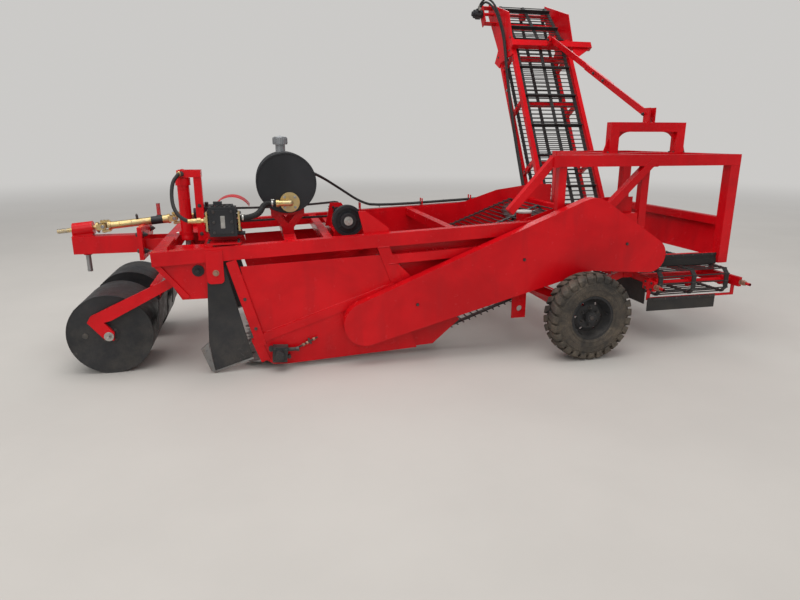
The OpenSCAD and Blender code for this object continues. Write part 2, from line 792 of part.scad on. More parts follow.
module rim(side) {
    color(black) place() translate([0, side * wheel_y, axle_z]) rotate([side * -90, 0, 0]) {
        difference() {
            rotate_extrude($fn = 96) polygon([
                [rim_d / 2 - 3, -tyre_w / 2 + 14], [rim_d / 2 + 14, -tyre_w / 2 + 14], [rim_d / 2 + 14, -tyre_w / 2 + 22],
                [rim_d / 2 - 0.3, -tyre_w / 2 + 26], [rim_d / 2 - 0.3, tyre_w / 2 - 26],
                [rim_d / 2 + 14, tyre_w / 2 - 22], [rim_d / 2 + 14, tyre_w / 2 - 14],
                [rim_d / 2 - 3, tyre_w / 2 - 14], [rim_d / 2 - 10, tyre_w / 2 - 30],
                [128, 6], [96, 22], [spindle_r + 0.05, 22], [spindle_r + 0.05, 10], [92, 10],
                [122, -8], [rim_d / 2 - 10, -tyre_w / 2 + 30]]);
            for (a = [0:60:300]) rotate(a) translate([112, 0, -40]) cylinder(h = 80, r = 12);
        }
        difference() {
            translate([0, 0, -wheel_y + hub_inner]) cylinder(h = wheel_y - hub_inner + 58, r = hub_d / 2);
            translate([0, 0, -200]) cylinder(h = 238, r = spindle_r + 0.05, $fn = 48);
        }
        translate([0, 0, 57]) cylinder(h = 14, r = hub_d / 2 - 8);
    }
}

module tyre(side) {
    r = tyre_d / 2;
    h = tyre_w / 2;
    color(rubber) place() translate([0, side * wheel_y, axle_z]) rotate([side * -90, 0, 0])
        rotate_extrude($fn = 96) polygon([
            [rim_d / 2, -h + 30], [rim_d / 2 + 14.6, -h + 26], [rim_d / 2 + 14.6, -h + 12], [r * 0.66, -h + 2],
            [r * 0.8, -h], [r - 30, -h + 6], [r - 8, -h + 16], [r, -h + 34], [r, h - 34], [r - 8, h - 16],
            [r - 30, h - 6], [r * 0.8, h], [r * 0.66, h - 2], [rim_d / 2 + 14.6, h - 12], [rim_d / 2 + 14.6, h - 26],
            [rim_d / 2, h - 30]]);
}

module rim_left() rim(-1);
module rim_right() rim(1);
module tyre_left() tyre(-1);
module tyre_right() tyre(1);

// Rear frame

side_y = frame_half - rail_h / 2;
portal_y = -100;
module rear_frame() {
    z = top_z - rail_h / 2;
    color(red) place() {
        difference() {
            rear_parts(z);
            main_rails(seat_gap);
        }
    }
}

// Near rail with its struts and front post, the shorter far rail, and the posts
module rear_parts(z) {
    union() {
        bar_xz([-216, z], [rear_x, z], -side_y, rail_h, rail_h);
        bar_xz([far_rail_x, z], [rear_x, z], side_y, rail_h, rail_h);
        bar_xz([-556, 1135], [-196, top_z - 30], -side_y, 60, 60);
        bar_xz([250, 1100], [690, top_z - 30], -side_y - 14, 66, 62);
        bar_xz([-127, beam_z(-127)], [-127, z], -side_y, 60, 64);
        both_sides() {
            bar_xz([post_front, sill_z + sill_h / 2], [post_front, z], sill_y, 60, 66);
            translate([post_x - rail_h / 2, side_y - rail_h / 2, post_foot]) cube([rail_h, rail_h, z - post_foot]);
        }
        for (x = [post_front, post_x]) bar_y(x, z, -side_y, side_y, 66, rail_h);
    }
}
far_rail_x = 590;
post_foot = 645;

module portal() {
    z1 = top_z + portal_h;
    mid = (portal_x0 + portal_x1) / 2;
    half = (portal_x1 - portal_x0) / 2;
    color(red) place() {
        translate([portal_x0, portal_y - leg_w / 2, z1 - leg_w]) cube([2 * half, leg_w, leg_w]);
        for (s = [-1, 1]) translate([mid + s * half, portal_y, top_z + foot_gap]) {
            translate([s > 0 ? -leg_w : 0, -leg_w / 2, 0]) cube([leg_w, leg_w, portal_h - leg_w + 1]);
            // Flared foot and curved gusset of each leg
            rotate([90, 0, 0]) linear_extrude(12, center = true)
                polygon([[-s * 2, 0], [s * 46, 0], [-s * 2, 140]]);
            translate([-s * leg_w, 0, portal_h - leg_w]) rotate([90, 0, 0]) linear_extrude(12, center = true) difference() {
                polygon([[s * 2, 2], [-s * 120, 2], [s * 2, -120]]);
                translate([-s * 120, -120]) circle(r = 118, $fn = 64);
            }
        }
        // Rail between the cross bars that the legs stand on
        translate([post_front + 33 + foot_gap, portal_y - 60, top_z - 60])
            cube([post_x - post_front - 66 - 2 * foot_gap, 120, 60 + foot_gap + 0.1]);
        for (x = [portal_pin_x - 34, portal_pin_x + 20])
            translate([x, portal_y - 40, z1 - 1]) cube([14, 90, 130]);
        rod_x(portal_pin_x - 44, portal_pin_x + 44, portal_pin_y, portal_pin_z, brace_pin_r);
    }
}
portal_x0 = 675;
portal_x1 = 1445;
leg_w = 84;
foot_gap = 0.3;
brace_pin_r = 10;
portal_pin_x = 1080;
portal_pin_y = -60;
portal_pin_z = 1915;

// Curved deflector behind the cross conveyor, under its rail
module rear_wall() {
    r = 900;
    color(red) place() {
        bar_y(post_x, 1000, -side_y + rail_h / 2 + seat_gap, side_y - rail_h / 2 - seat_gap, 60, 70);
        translate([post_x + 10 - r, 715, 970]) rotate([90, 0, 0]) linear_extrude(1430) intersection() {
            difference() {
                circle(r = r, $fn = 192);
                circle(r = r - sheet_t, $fn = 192);
            }
            polygon([[0, 0], [2 * r, 0], [2 * r, -r * 0.65]]);
        }
    }
}

module skirts() {
    y = -sill_y - 20 - seat_gap;
    color(rubber) place() {
        for (k = [0, 1]) translate([820, y - 8 * (k + 1), 678 - k * 44]) cube([584, 8 + k * 0.1, 50]);
        translate([650, -hanger_bar_y - 8, 290]) cube([655, 8, 112]);
        translate([conv_x0 - 8, -cross_reach + 92, 330]) cube([8 - seat_gap, 520, 180]);
    }
}

// Cross conveyor

cross_reach = 960;
cross_top = 620;
cross_low = 420;
cross_far = 700;
cross_loop = [[-cross_reach, cross_top - 40], [-cross_reach + 40, cross_top], [cross_far - 40, cross_top],
    [cross_far, cross_top - 40], [cross_far, cross_low + 40], [cross_far - 40, cross_low],
    [-cross_reach + 40, cross_low], [-cross_reach, cross_low + 40]];
cross_belts = [conv_x0 + 50, conv_mid - 20, conv_x1 - 90];
hanger_bar_y = cross_reach - 14;
foot_pin_r = 20;
end_shaft_r = 20;
module cross_frame() {
    color(red) place() difference() {
        cross_parts();
        main_rails(seat_gap);
        rod_x(conv_x0 - 31, conv_x1 + 31, -cross_reach + 50, 520, end_shaft_r + seat_gap);
    }
}

module cross_parts() {
    union() {
        for (x = [conv_x0, conv_x1 - 40])
            translate([x, -cross_reach + 60, cross_low + 45]) cube([40, cross_reach + 640, 100]);
        for (y = [-640, 0, 560]) translate([conv_x0 + 20, y, cross_low + 60]) cube([conv_w - 40, 50, 50]);
        // Hangers up to the lower rails
        for (s = [-1, 1]) {
            bar_yz([s * 600, 530], [s * (sill_y - 24), sill_z - 12], conv_x0 + 20, 30, 44);
            translate([conv_x1 - 35, s * (side_y - rail_h / 2 - seat_gap - 20) - 20, 540]) cube([30, 40, 145]);
        }
        // Brackets and shaft that carry the elevator's foot
        for (x = [elev_x0 - 24, conv_x1 + 4]) {
            translate([x, 560, cross_low + 60]) cube([14, elev_y - 560, 70]);
            rod_x(x, x + 14, elev_y, elev_z, 45);
        }
        translate([elev_x0 - 24, 560, cross_low + 60]) cube([conv_x0 - elev_x0 + 30, 50, 50]);
        translate([conv_x1 - 10, 560, cross_low + 60]) cube([28, 50, 50]);
        rod_x(elev_x0 - 24, conv_x1 + 18, elev_y, elev_z, foot_pin_r);
    }
}

// Tension blocks, screws, end shaft and skirt hanger at the near end of the cross conveyor
module cross_end() {
    color(red) place() {
        for (x = [conv_x0 - 36, conv_x1 + 6]) {
            translate([x, -cross_reach - 60, cross_low + 55]) cube([30, 150, 80]);
            rod_y(x + 15, cross_low + 95, -cross_reach - 170, -cross_reach - 58, 12);
            translate([x, -hanger_bar_y + 0.2, 390]) cube([30, 10, 90]);
        }
        translate([conv_x0 - 36, -hanger_bar_y + 0.2, 385]) cube([conv_w + 72, 10, 20]);
        rod_x(conv_x0 - 30, conv_x1 + 30, -cross_reach + 50, 520, end_shaft_r);
        for (x = cross_belts) rod_x(x - 5, x + 45, -cross_reach + 50, 520, 44.2);
    }
}

module cross_web() {
    color(black) place() {
        for (x = cross_belts)
            translate([x, 0, 0]) rotate([90, 0, 90]) linear_extrude(40) loop_outline(cross_loop, belt_t);
        for (p = loop_rods(cross_loop, rod_pitch)) rod_x(conv_x0 + 44, conv_x1 - 44, p[0], p[1], rod_r);
    }
}

// Elevator, in a frame with +z up along its rails and +y to its back

module elevator_at() place() translate([0, elev_y, elev_z]) rotate([elev_slope - 90, 0, 0]) children();
elev_wall = 50;
head_s = 2700;
elev_belts = [elev_x0 + elev_wall + 12, elev_mid - 20, elev_x1 - elev_wall - 52];
elev_loop = [[-elev_front + 40, 90], [-elev_front + 40, head_s + 20], [85, elev_l - 240], [120, elev_l - 160],
    [190, elev_l - 145], [235, elev_l - 200], [elev_back - 60, head_s], [elev_back - 80, 120], [0, 60]];

module elevator_frame() {
    color(red) elevator_at() {
        for (x = [elev_x0, elev_x1 - elev_wall]) {
            translate([x, -elev_front, 40]) cube([elev_wall, 60, head_s - 40]);
            translate([x, elev_back - 50, 200]) cube([elev_wall, 50, head_s - 200]);
            for (z = elev_ties) translate([x + 5, -elev_front + 10, z]) cube([elev_wall - 10, elev_front + elev_back - 20, 46]);
            // Foot plates on the foot shaft
            difference() {
                translate([x, -elev_front, 0]) cube([elev_wall, elev_front + elev_back, 210]);
                translate([x - 5, 0, 0]) rotate([0, 90, 0]) cylinder(h = 60, r = foot_pin_r + 0.05, $fn = 48);
            }
        }
        for (z = elev_ties) translate([elev_x0 + 10, -20, z]) cube([elev_w - 20, 46, 46]);
        // Upper cross beam, with its gusset and the eye plates of the brace
        translate([elev_x0 - 20, -elev_front - 70, brace_s - 40]) cube([brace_beam_l, 70.2, 80]);
        translate([elev_x1 - 1, -elev_front - 40, brace_s - 200]) rotate([90, 0, 0]) linear_extrude(12, center = true)
            polygon([[0, 0], [240, 165], [0, 165]]);
        for (x = [portal_pin_x - 40, portal_pin_x + 28])
            translate([x, -brace_t - 30, brace_s - 40]) cube([12, brace_t - elev_front - 39, 80]);
        translate([portal_pin_x - 44, -brace_t, brace_s]) rotate([0, 90, 0]) cylinder(h = 88, r = brace_pin_r, $fn = 48);
    }
}
elev_ties = [1020, 1820, 2470];
brace_s = 2580;
brace_t = 250;

module elevator_web() {
    web_w = elev_w - 2 * elev_wall - 12;
    color(black) elevator_at() {
        for (x = elev_belts)
            translate([x, 0, 0]) rotate([90, 0, 90]) linear_extrude(40) loop_outline(elev_loop, belt_t);
        for (p = loop_rods(elev_loop, rod_pitch))
            translate([elev_x0 + elev_wall + 6, p[0], p[1]]) rotate([0, 90, 0]) cylinder(h = web_w, r = rod_r, $fn = 24);
        // Rubber flights on the front strand and on the head
        for (z = [300:flight_pitch:head_s]) flight(elev_loop[0][0], z, 0);
        for (k = [0.35, 0.95]) {
            p = elev_loop[1] + (elev_loop[2] - elev_loop[1]) * k;
            flight(p[0], p[1], atan2(elev_loop[2][0] - elev_loop[1][0], elev_loop[2][1] - elev_loop[1][1]));
        }
    }
}

module flight(t, s, a) {
    translate([elev_x0 + elev_wall + 16, t, s]) rotate([-a, 0, 0])
        translate([0, -flight_h + belt_t / 2, -6]) cube([elev_w - 2 * elev_wall - 32, flight_h, 12]);
}

module elevator_head() {
    color(red) elevator_at() {
        for (x = [elev_x0 - 12 - seat_gap, elev_x1 + seat_gap])
            translate([x, 0, 0]) rotate([90, 0, 90]) linear_extrude(12)
                polygon([[-elev_front + seat_gap, brace_s + 40 + seat_gap], [-elev_front - 62, brace_s + 40 + seat_gap],
                    [-elev_front - 107, elev_l - 540], head_tip, head_heel,
                    [232, head_s + 90], [390, head_s + 20], [290, head_s - 130], [228, head_s - 100], [-elev_front + seat_gap, head_s - 240]]);
        translate([elev_x0 - 5, 60, elev_l - 520]) cube([elev_w + 10, 50, 50]);
        for (x = elev_belts) translate([x - 5, motor_t, motor_s]) rotate([0, 90, 0]) cylinder(h = 50, r = 64.2);
        // Head shaft, and the outrigger that carries the motor
        translate([elev_x0 - 150, motor_t, motor_s]) rotate([0, 90, 0]) cylinder(h = elev_w + 160, r = 20, $fn = 48);
        for (z = [motor_s - 150, motor_s + 90]) translate([elev_x0 - 160, motor_t - 30, z]) cube([156, 60, 12]);
        translate([elev_x0 - 172, motor_t - 60, motor_s - 150]) difference() {
            cube([12.2, 120, 252]);
            translate([-5, 60, 150]) rotate([0, 90, 0]) cylinder(h = 30, r = 21);
        }
    }
}
motor_s = elev_l - 245;
motor_t = 165;

module head_motor() {
    color(black) elevator_at() translate([elev_x0 - 172.3, motor_t, motor_s]) rotate([0, -90, 0]) {
        cylinder(h = 110, r = 50);
        translate([-45, -45, 20]) cube([90, 90, 60]);
        translate([0, 0, 109]) cylinder(h = 24, r = 30);
        for (k = [0, 1]) translate([30 - k * hose_step, -60, 60]) rotate([90, 0, 0]) cylinder(h = 40, r = 13, center = true);
    }
}

elev_hose_points = [[elev_x0 - 232, motor_t - 80.4, motor_s + 30], [elev_x0 - 232, motor_t - 160, motor_s + 30],
    [elev_x0 - 190, motor_t - 260, motor_s + 30], [elev_x0 - 110, motor_t - 300, motor_s - 130],
    [elev_x0 - 36, -60, motor_s - 420], [elev_x0 - 30, 0, head_s - 100], [elev_x0 - 36, 60, head_s - 400], [elev_x0 - 36, 150, head_s - 1000],
    [elev_x0 - 36, 190, 900], [elev_x0 - 46, 190, 300], [elev_x0 - 46, 190, 150],
    [elev_x0 - 30, 190, 130], [elev_x0 - 0.3, 190, 130]];
hose_step = 34;
module elevator_hoses() {
    color(rubber) elevator_at()
        for (k = [0, 1]) hose([for (i = [0:len(elev_hose_points) - 1])
            elev_hose_points[i] + [0, i < 2 ? 0 : k * 30, -k * hose_step]], 13);
}

// Brace between the portal and the elevator, in a frame with +z along it from the portal pin

pin_y = elev_y + cos(elev_slope) * brace_s - sin(elev_slope) * brace_t;
pin_z = elev_z + sin(elev_slope) * brace_s + cos(elev_slope) * brace_t;
brace_l = norm([pin_y - portal_pin_y, pin_z - portal_pin_z]);
brace_angle = atan2(pin_z - portal_pin_z, pin_y - portal_pin_y);
module brace_at() place() translate([0, portal_pin_y, portal_pin_z]) rotate([brace_angle - 90, 0, 0]) children();

module brace_sleeve() {
    color(red) brace_at() difference() {
        union() {
            translate([portal_pin_x - 14, -32, 0]) cube([12, 64, 1300]);
            translate([portal_pin_x - 14, 0, 0]) rotate([0, 90, 0]) cylinder(h = 12, r = 32);
        }
        translate([portal_pin_x - 20, 0, 0]) rotate([0, 90, 0]) cylinder(h = 40, r = brace_pin_r + 0.05, $fn = 48);
        for (k = [0:9]) translate([portal_pin_x - 20, 0, 760 + k * 55]) rotate([0, 90, 0]) cylinder(h = 40, r = 9);
    }
}

module brace_bar() {
    color(red) brace_at() difference() {
        union() {
            translate([portal_pin_x - 1.7, -32, 700]) cube([12, 64, brace_l - 700]);
            translate([portal_pin_x - 1.7, 0, brace_l]) rotate([0, 90, 0]) cylinder(h = 12, r = 32);
        }
        translate([portal_pin_x - 20, 0, brace_l]) rotate([0, 90, 0]) cylinder(h = 40, r = 18, $fn = 48);
        for (k = [0:13]) translate([portal_pin_x - 20, 0, 760 + k * 55]) rotate([0, 90, 0]) cylinder(h = 40, r = 9);
    }
}

// Front rollers and their carriage

roller_x = -3605;
roller_z = roller_d / 2;
arm_y = roller_gap / 2 + roller_w + 22;
module roller_arms() {
    color(red) place() {
        // Torque tube in the pivot plates
        rod_y(pivot_x, pivot_z, -beam_y + 7.3, beam_y - 7.3, 38);
        both_sides() {
            rod_y(pivot_x, pivot_z, beam_y - 8, beam_y + 10, arm_pin_r);
            // Arm with its mitred elbow and gusset
            plate_xz([[pivot_x, pivot_z + 34], arm_elbow + [-18, 38], arm_elbow + [-46, -8], [roller_x - 32, roller_z - 22],
                [roller_x + 30, roller_z - 34], [roller_x + 38, roller_z + 24], arm_elbow + [66, -14],
                arm_elbow + [118, -2], [pivot_x, pivot_z - 34]], arm_y + arm_t / 2, arm_t);
            rod_y(roller_x, roller_z, 0, arm_y + arm_t + 8, roller_pin_r);
            bar_xz([pivot_x, pivot_z], cross_tube, 200, 40, 70);
        }
        // Cross tube, with the lever under the cylinder
        bar_y(cross_tube[0], cross_tube[1], -arm_y - 4, arm_y + 4, 60, 60);
        for (y = [cyl_y - 34, cyl_y + 22]) translate([cyl_x - 24, y, rod_eye_z - 30]) cube([150, 12, 60]);
        translate([pivot_x - 30, cyl_y - 34, pivot_z - 20]) cube([30, 68, 40]);
        rod_y(cyl_x, rod_eye_z, cyl_y - 38, cyl_y + 38, rod_pin_r);
    }
}
arm_t = 24;
roller_pin_r = 16;
cross_tube = [-3260, 632];
rod_pin_r = 10;
arm_elbow = [-3695, 420];
rod_eye_z = 790;

module roller(side) {
    y0 = side > 0 ? roller_gap / 2 : -roller_gap / 2 - roller_w;
    color(black) place() difference() {
        rod_y(roller_x, roller_z, y0, y0 + roller_w, roller_d / 2);
        difference() {
            rod_y(roller_x, roller_z, y0 + roller_t, y0 + roller_w - roller_t, roller_d / 2 - roller_t);
            rod_y(roller_x, roller_z, y0, y0 + roller_w, 34);
        }
        rod_y(roller_x, roller_z, y0 - 1, y0 + roller_w + 1, roller_pin_r + 0.05);
        rod_y(roller_x - 170, roller_z, side > 0 ? y0 - 1 : y0 + roller_w - 20, side > 0 ? y0 + 20 : y0 + roller_w + 1, 14);
    }
}
module roller_left() roller(-1);
module roller_right() roller(1);

// Lift cylinder of the carriage

barrel_z = 905;
rod_bar_r = 20;
module cylinder_barrel() {
    color(red) place() difference() {
        union() {
            translate([cyl_x, cyl_y, barrel_z]) cylinder(h = cyl_top_z - 30 - barrel_z, r = 46);
            translate([cyl_x, cyl_y, cyl_top_z - 90]) cylinder(h = 56, r = 58);
            rod_y(cyl_x, cyl_top_z, cyl_y - 40, cyl_y + 40, 34);
            translate([cyl_x - 26, cyl_y - 30, cyl_top_z - 40]) cube([52, 60, 30]);
        }
        rod_y(cyl_x, cyl_top_z, cyl_y - 60, cyl_y + 60, 12.05);
        translate([cyl_x, cyl_y, barrel_z - 20]) cylinder(h = 400, r = rod_bar_r + 0.05, $fn = 48);
    }
}

module cylinder_rod() {
    color(steel) place() difference() {
        union() {
            translate([cyl_x, cyl_y, rod_eye_z + 20]) cylinder(h = 420, r = rod_bar_r, $fn = 48);
            rod_y(cyl_x, rod_eye_z, cyl_y - 20, cyl_y + 20, 30);
        }
        rod_y(cyl_x, rod_eye_z, cyl_y - 60, cyl_y + 60, 14);
    }
}

main_frame();
front_frame();
cylinder_post();
drawbar();
tow_pin();
hydraulic_pump();
gearbox();
gearbox_hood();
machine_stands();
oil_tank();
tank_cap();
fittings();
hoses();
body_sides();
coulters();
shares();
front_motor();
side_sheets();
chain_guard();
main_web();
web_shafts();
axle();
rear_frame();
portal();
rear_wall();
skirts();
cross_frame();
cross_end();
cross_web();
pulley_shaft();
belt_pulley();
elevator_frame();
elevator_web();
elevator_head();
head_motor();
elevator_hoses();
brace_sleeve();
brace_bar();
roller_arms();
roller_left();
roller_right();
cylinder_barrel();
cylinder_rod();
rim_left();
tyre_left();
rim_right();
tyre_right();
pto_shaft();
pto_tube();
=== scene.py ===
"""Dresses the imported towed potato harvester: paint, tread, fasteners, weld beads, chain and trim, in a plain studio."""

from __future__ import annotations

import json
import logging
import math
from collections.abc import Callable, Sequence
from dataclasses import dataclass
from enum import Enum
from itertools import product

import bmesh
import bpy
from mathutils import Matrix, Vector

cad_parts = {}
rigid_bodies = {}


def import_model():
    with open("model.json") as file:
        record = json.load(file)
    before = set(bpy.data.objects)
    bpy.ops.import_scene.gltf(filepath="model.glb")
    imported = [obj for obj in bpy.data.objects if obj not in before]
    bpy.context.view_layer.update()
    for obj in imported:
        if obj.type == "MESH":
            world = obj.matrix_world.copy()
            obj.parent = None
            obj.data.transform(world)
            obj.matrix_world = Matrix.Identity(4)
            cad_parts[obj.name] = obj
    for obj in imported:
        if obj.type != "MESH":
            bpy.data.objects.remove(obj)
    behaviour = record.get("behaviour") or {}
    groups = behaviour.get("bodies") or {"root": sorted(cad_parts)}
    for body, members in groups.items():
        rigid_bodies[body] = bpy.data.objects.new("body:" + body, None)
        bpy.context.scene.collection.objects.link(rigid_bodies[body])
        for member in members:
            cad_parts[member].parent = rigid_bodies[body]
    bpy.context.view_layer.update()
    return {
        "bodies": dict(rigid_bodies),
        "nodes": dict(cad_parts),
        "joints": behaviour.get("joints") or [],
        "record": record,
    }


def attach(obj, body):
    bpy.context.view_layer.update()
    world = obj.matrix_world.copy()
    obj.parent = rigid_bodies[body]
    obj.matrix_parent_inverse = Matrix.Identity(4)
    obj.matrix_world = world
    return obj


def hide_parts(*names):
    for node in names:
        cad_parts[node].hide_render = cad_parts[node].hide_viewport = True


LOG = logging.getLogger("harvester")

Colour = tuple[float, float, float]
Point = tuple[float, float, float]
Pairs = tuple[tuple[float, float], ...]
Profile = Sequence[tuple[float, float]]
Socket, Node, Tree = bpy.types.NodeSocket, bpy.types.Node, bpy.types.NodeTree

# Stations are metres from the wheel axle, +X to the rear, and this shift takes them to the row frame
TO_ROW = Matrix.Translation((1.203323447741537, -0.847169986313768, 0.0))
SIDES = (-1, 1)


def at(x: float, y: float, z: float) -> Vector:
    """A place or a direction, in metres."""
    return Vector((x, y, z))


X, Y, Z = at(1, 0, 0), at(0, 1, 0), at(0, 0, 1)


def spokes(count: int, first: float = 0.0, axis: str = "Y") -> list[Vector]:
    """Unit vectors at even angles round an axis.

    Args:
        count: How many there are.
        first: Angle of the first, in degrees.
        axis: The axis that they stand across.

    Returns:
        The vectors in order.
    """
    turns = [math.radians(first + 360 / count * k) for k in range(count)]
    if axis == "X":
        return [at(0, math.cos(a), math.sin(a)) for a in turns]
    if axis == "Y":
        return [at(math.cos(a), 0, math.sin(a)) for a in turns]
    return [at(math.cos(a), math.sin(a), 0) for a in turns]


def side_name(side: int) -> str:
    """Name of a side; -1 is the near one, which is the machine's left."""
    return "left" if side < 0 else "right"


def turned_about_x(degrees: float) -> Matrix:
    """Rotation about X as the CAD source turns its own frames."""
    return Matrix.Rotation(math.radians(degrees), 4, "X")


def beam_z(x: float) -> float:
    """Centre height of the main beams at station x."""
    return 0.875 + (x + 3.24) * math.tan(math.radians(2.7))


# The frames that the CAD source builds its elevator, brace and input shaft in
ELEVATOR_FOOT = at(0.0, 0.860, 0.520)
ELEVATOR_AT = Matrix.Translation(ELEVATOR_FOOT) @ turned_about_x(58.5 - 90)
PORTAL_PIN = at(1.080, -0.060, 1.915)
PUMP: Point = (-2.740, -0.650, 1.120)
BRACE_TOP = ELEVATOR_AT @ at(1.080, -0.250, 2.580)
BRACE_LENGTH = (Vector(BRACE_TOP.yz) - Vector(PORTAL_PIN.yz)).length
BRACE_AT = Matrix.Translation((0, PORTAL_PIN.y, PORTAL_PIN.z)) @ turned_about_x(
    math.degrees(math.atan2(BRACE_TOP.z - PORTAL_PIN.z, BRACE_TOP.y - PORTAL_PIN.y)) - 90)
INPUT_AT = Matrix.Translation((-4.050, 0.0, 0.984)) @ Matrix.Rotation(math.radians(90 - 5.4), 4, "Y")


class Slot(Enum):
    """The record's material slots."""

    RED = "frame_red"
    BLACK = "black_steel"
    BARE = "bare_steel"
    GOLD = "plated_gold"
    HOSE = "hose_rubber"
    WEB = "web_rubber"
    TYRE = "tyre_rubber"
    CAST = "cast_black"
    CAP = "cap_grey"


class Body(Enum):
    """The CAD bodies that pieces ride on."""

    FRAME = "frame"
    PULLEY = "pulley"
    ELEVATOR = "elevator"
    BRACE_OUTER = "brace_outer"
    BRACE_INNER = "brace_inner"
    CARRIAGE = "carriage"
    ROLLER_LEFT = "roller_left"
    ROLLER_RIGHT = "roller_right"
    LIFT_BARREL = "lift_barrel"
    LIFT_ROD = "lift_rod"
    WHEEL_LEFT = "wheel_left"
    WHEEL_RIGHT = "wheel_right"
    INPUT = "input_shaft"


class Sheet:
    """Short hand for wiring one node tree."""

    def __init__(self, tree: Tree) -> None:
        """Keeps the tree that nodes are added to."""
        self.tree = tree

    def add(self, kind: str, sockets: dict[str | int, object] | None = None, **settings: object) -> Node:
        """Adds a node.

        Args:
            kind: The node's type name.
            sockets: Input sockets by name or number, each a value or an output socket to link.
            settings: Attributes of the node.

        Returns:
            The new node.
        """
        node = self.tree.nodes.new(kind)
        for key, value in settings.items():
            setattr(node, key, value)
        for key, value in (sockets or {}).items():
            if isinstance(value, Socket):
                self.tree.links.new(value, node.inputs[key])
            else:
                node.inputs[key].default_value = value
        return node

    def noise(self, vector: Socket, scale: float | Socket, detail: float = 3.0,
              rough: float = 0.55, stretch: float = 0.0) -> Socket:
        """Adds a noise texture.

        Args:
            vector: Where the noise is read.
            scale: Its scale.
            detail: Its octaves.
            rough: How strong the finer octaves are.
            stretch: Its distortion.

        Returns:
            The noise value's socket.
        """
        node = self.add("ShaderNodeTexNoise", {"Vector": vector, "Scale": scale, "Detail": detail,
                                               "Roughness": rough, "Distortion": stretch})
        return node.outputs[0]

    def spread(self, value: Socket, low: float | Socket, high: float | Socket,
               to_low: float = 0.0, to_high: float = 1.0) -> Socket:
        """Maps a value's range smoothly to another.

        Args:
            value: The socket that is mapped.
            low: Lower end of the range it is read in.
            high: Upper end of that range.
            to_low: Result at the lower end.
            to_high: Result at the upper end.

        Returns:
            The mapped value's socket.
        """
        node = self.add("ShaderNodeMapRange", {"Value": value, "From Min": low, "From Max": high,
                                               "To Min": to_low, "To Max": to_high}, interpolation_type="SMOOTHSTEP")
        return node.outputs[0]

    def maths(self, operation: str, a: object, b: object = 0.0) -> Socket:
        """One step of arithmetic on two values or sockets."""
        return self.add("ShaderNodeMath", {0: a, 1: b}, operation=operation).outputs[0]

    def mix(self, mask: Socket, a: object, b: object) -> Socket:
        """Blends two colours by a mask.

        Args:
            mask: 0 gives a, and 1 gives b.
            a: First colour or socket.
            b: Second colour or socket.

        Returns:
            The blended colour's socket.
        """
        sockets = {6: (*a, 1.0) if isinstance(a, tuple) else a, 7: (*b, 1.0) if isinstance(b, tuple) else b, 0: mask}
        return self.add("ShaderNodeMix", sockets, data_type="RGBA").outputs[2]


def blank_sheet(owner: bpy.types.Material | bpy.types.World) -> Sheet:
    """Empties the node tree of a new material or world."""
    owner.use_nodes = True
    owner.node_tree.nodes.clear()
    return Sheet(owner.node_tree)


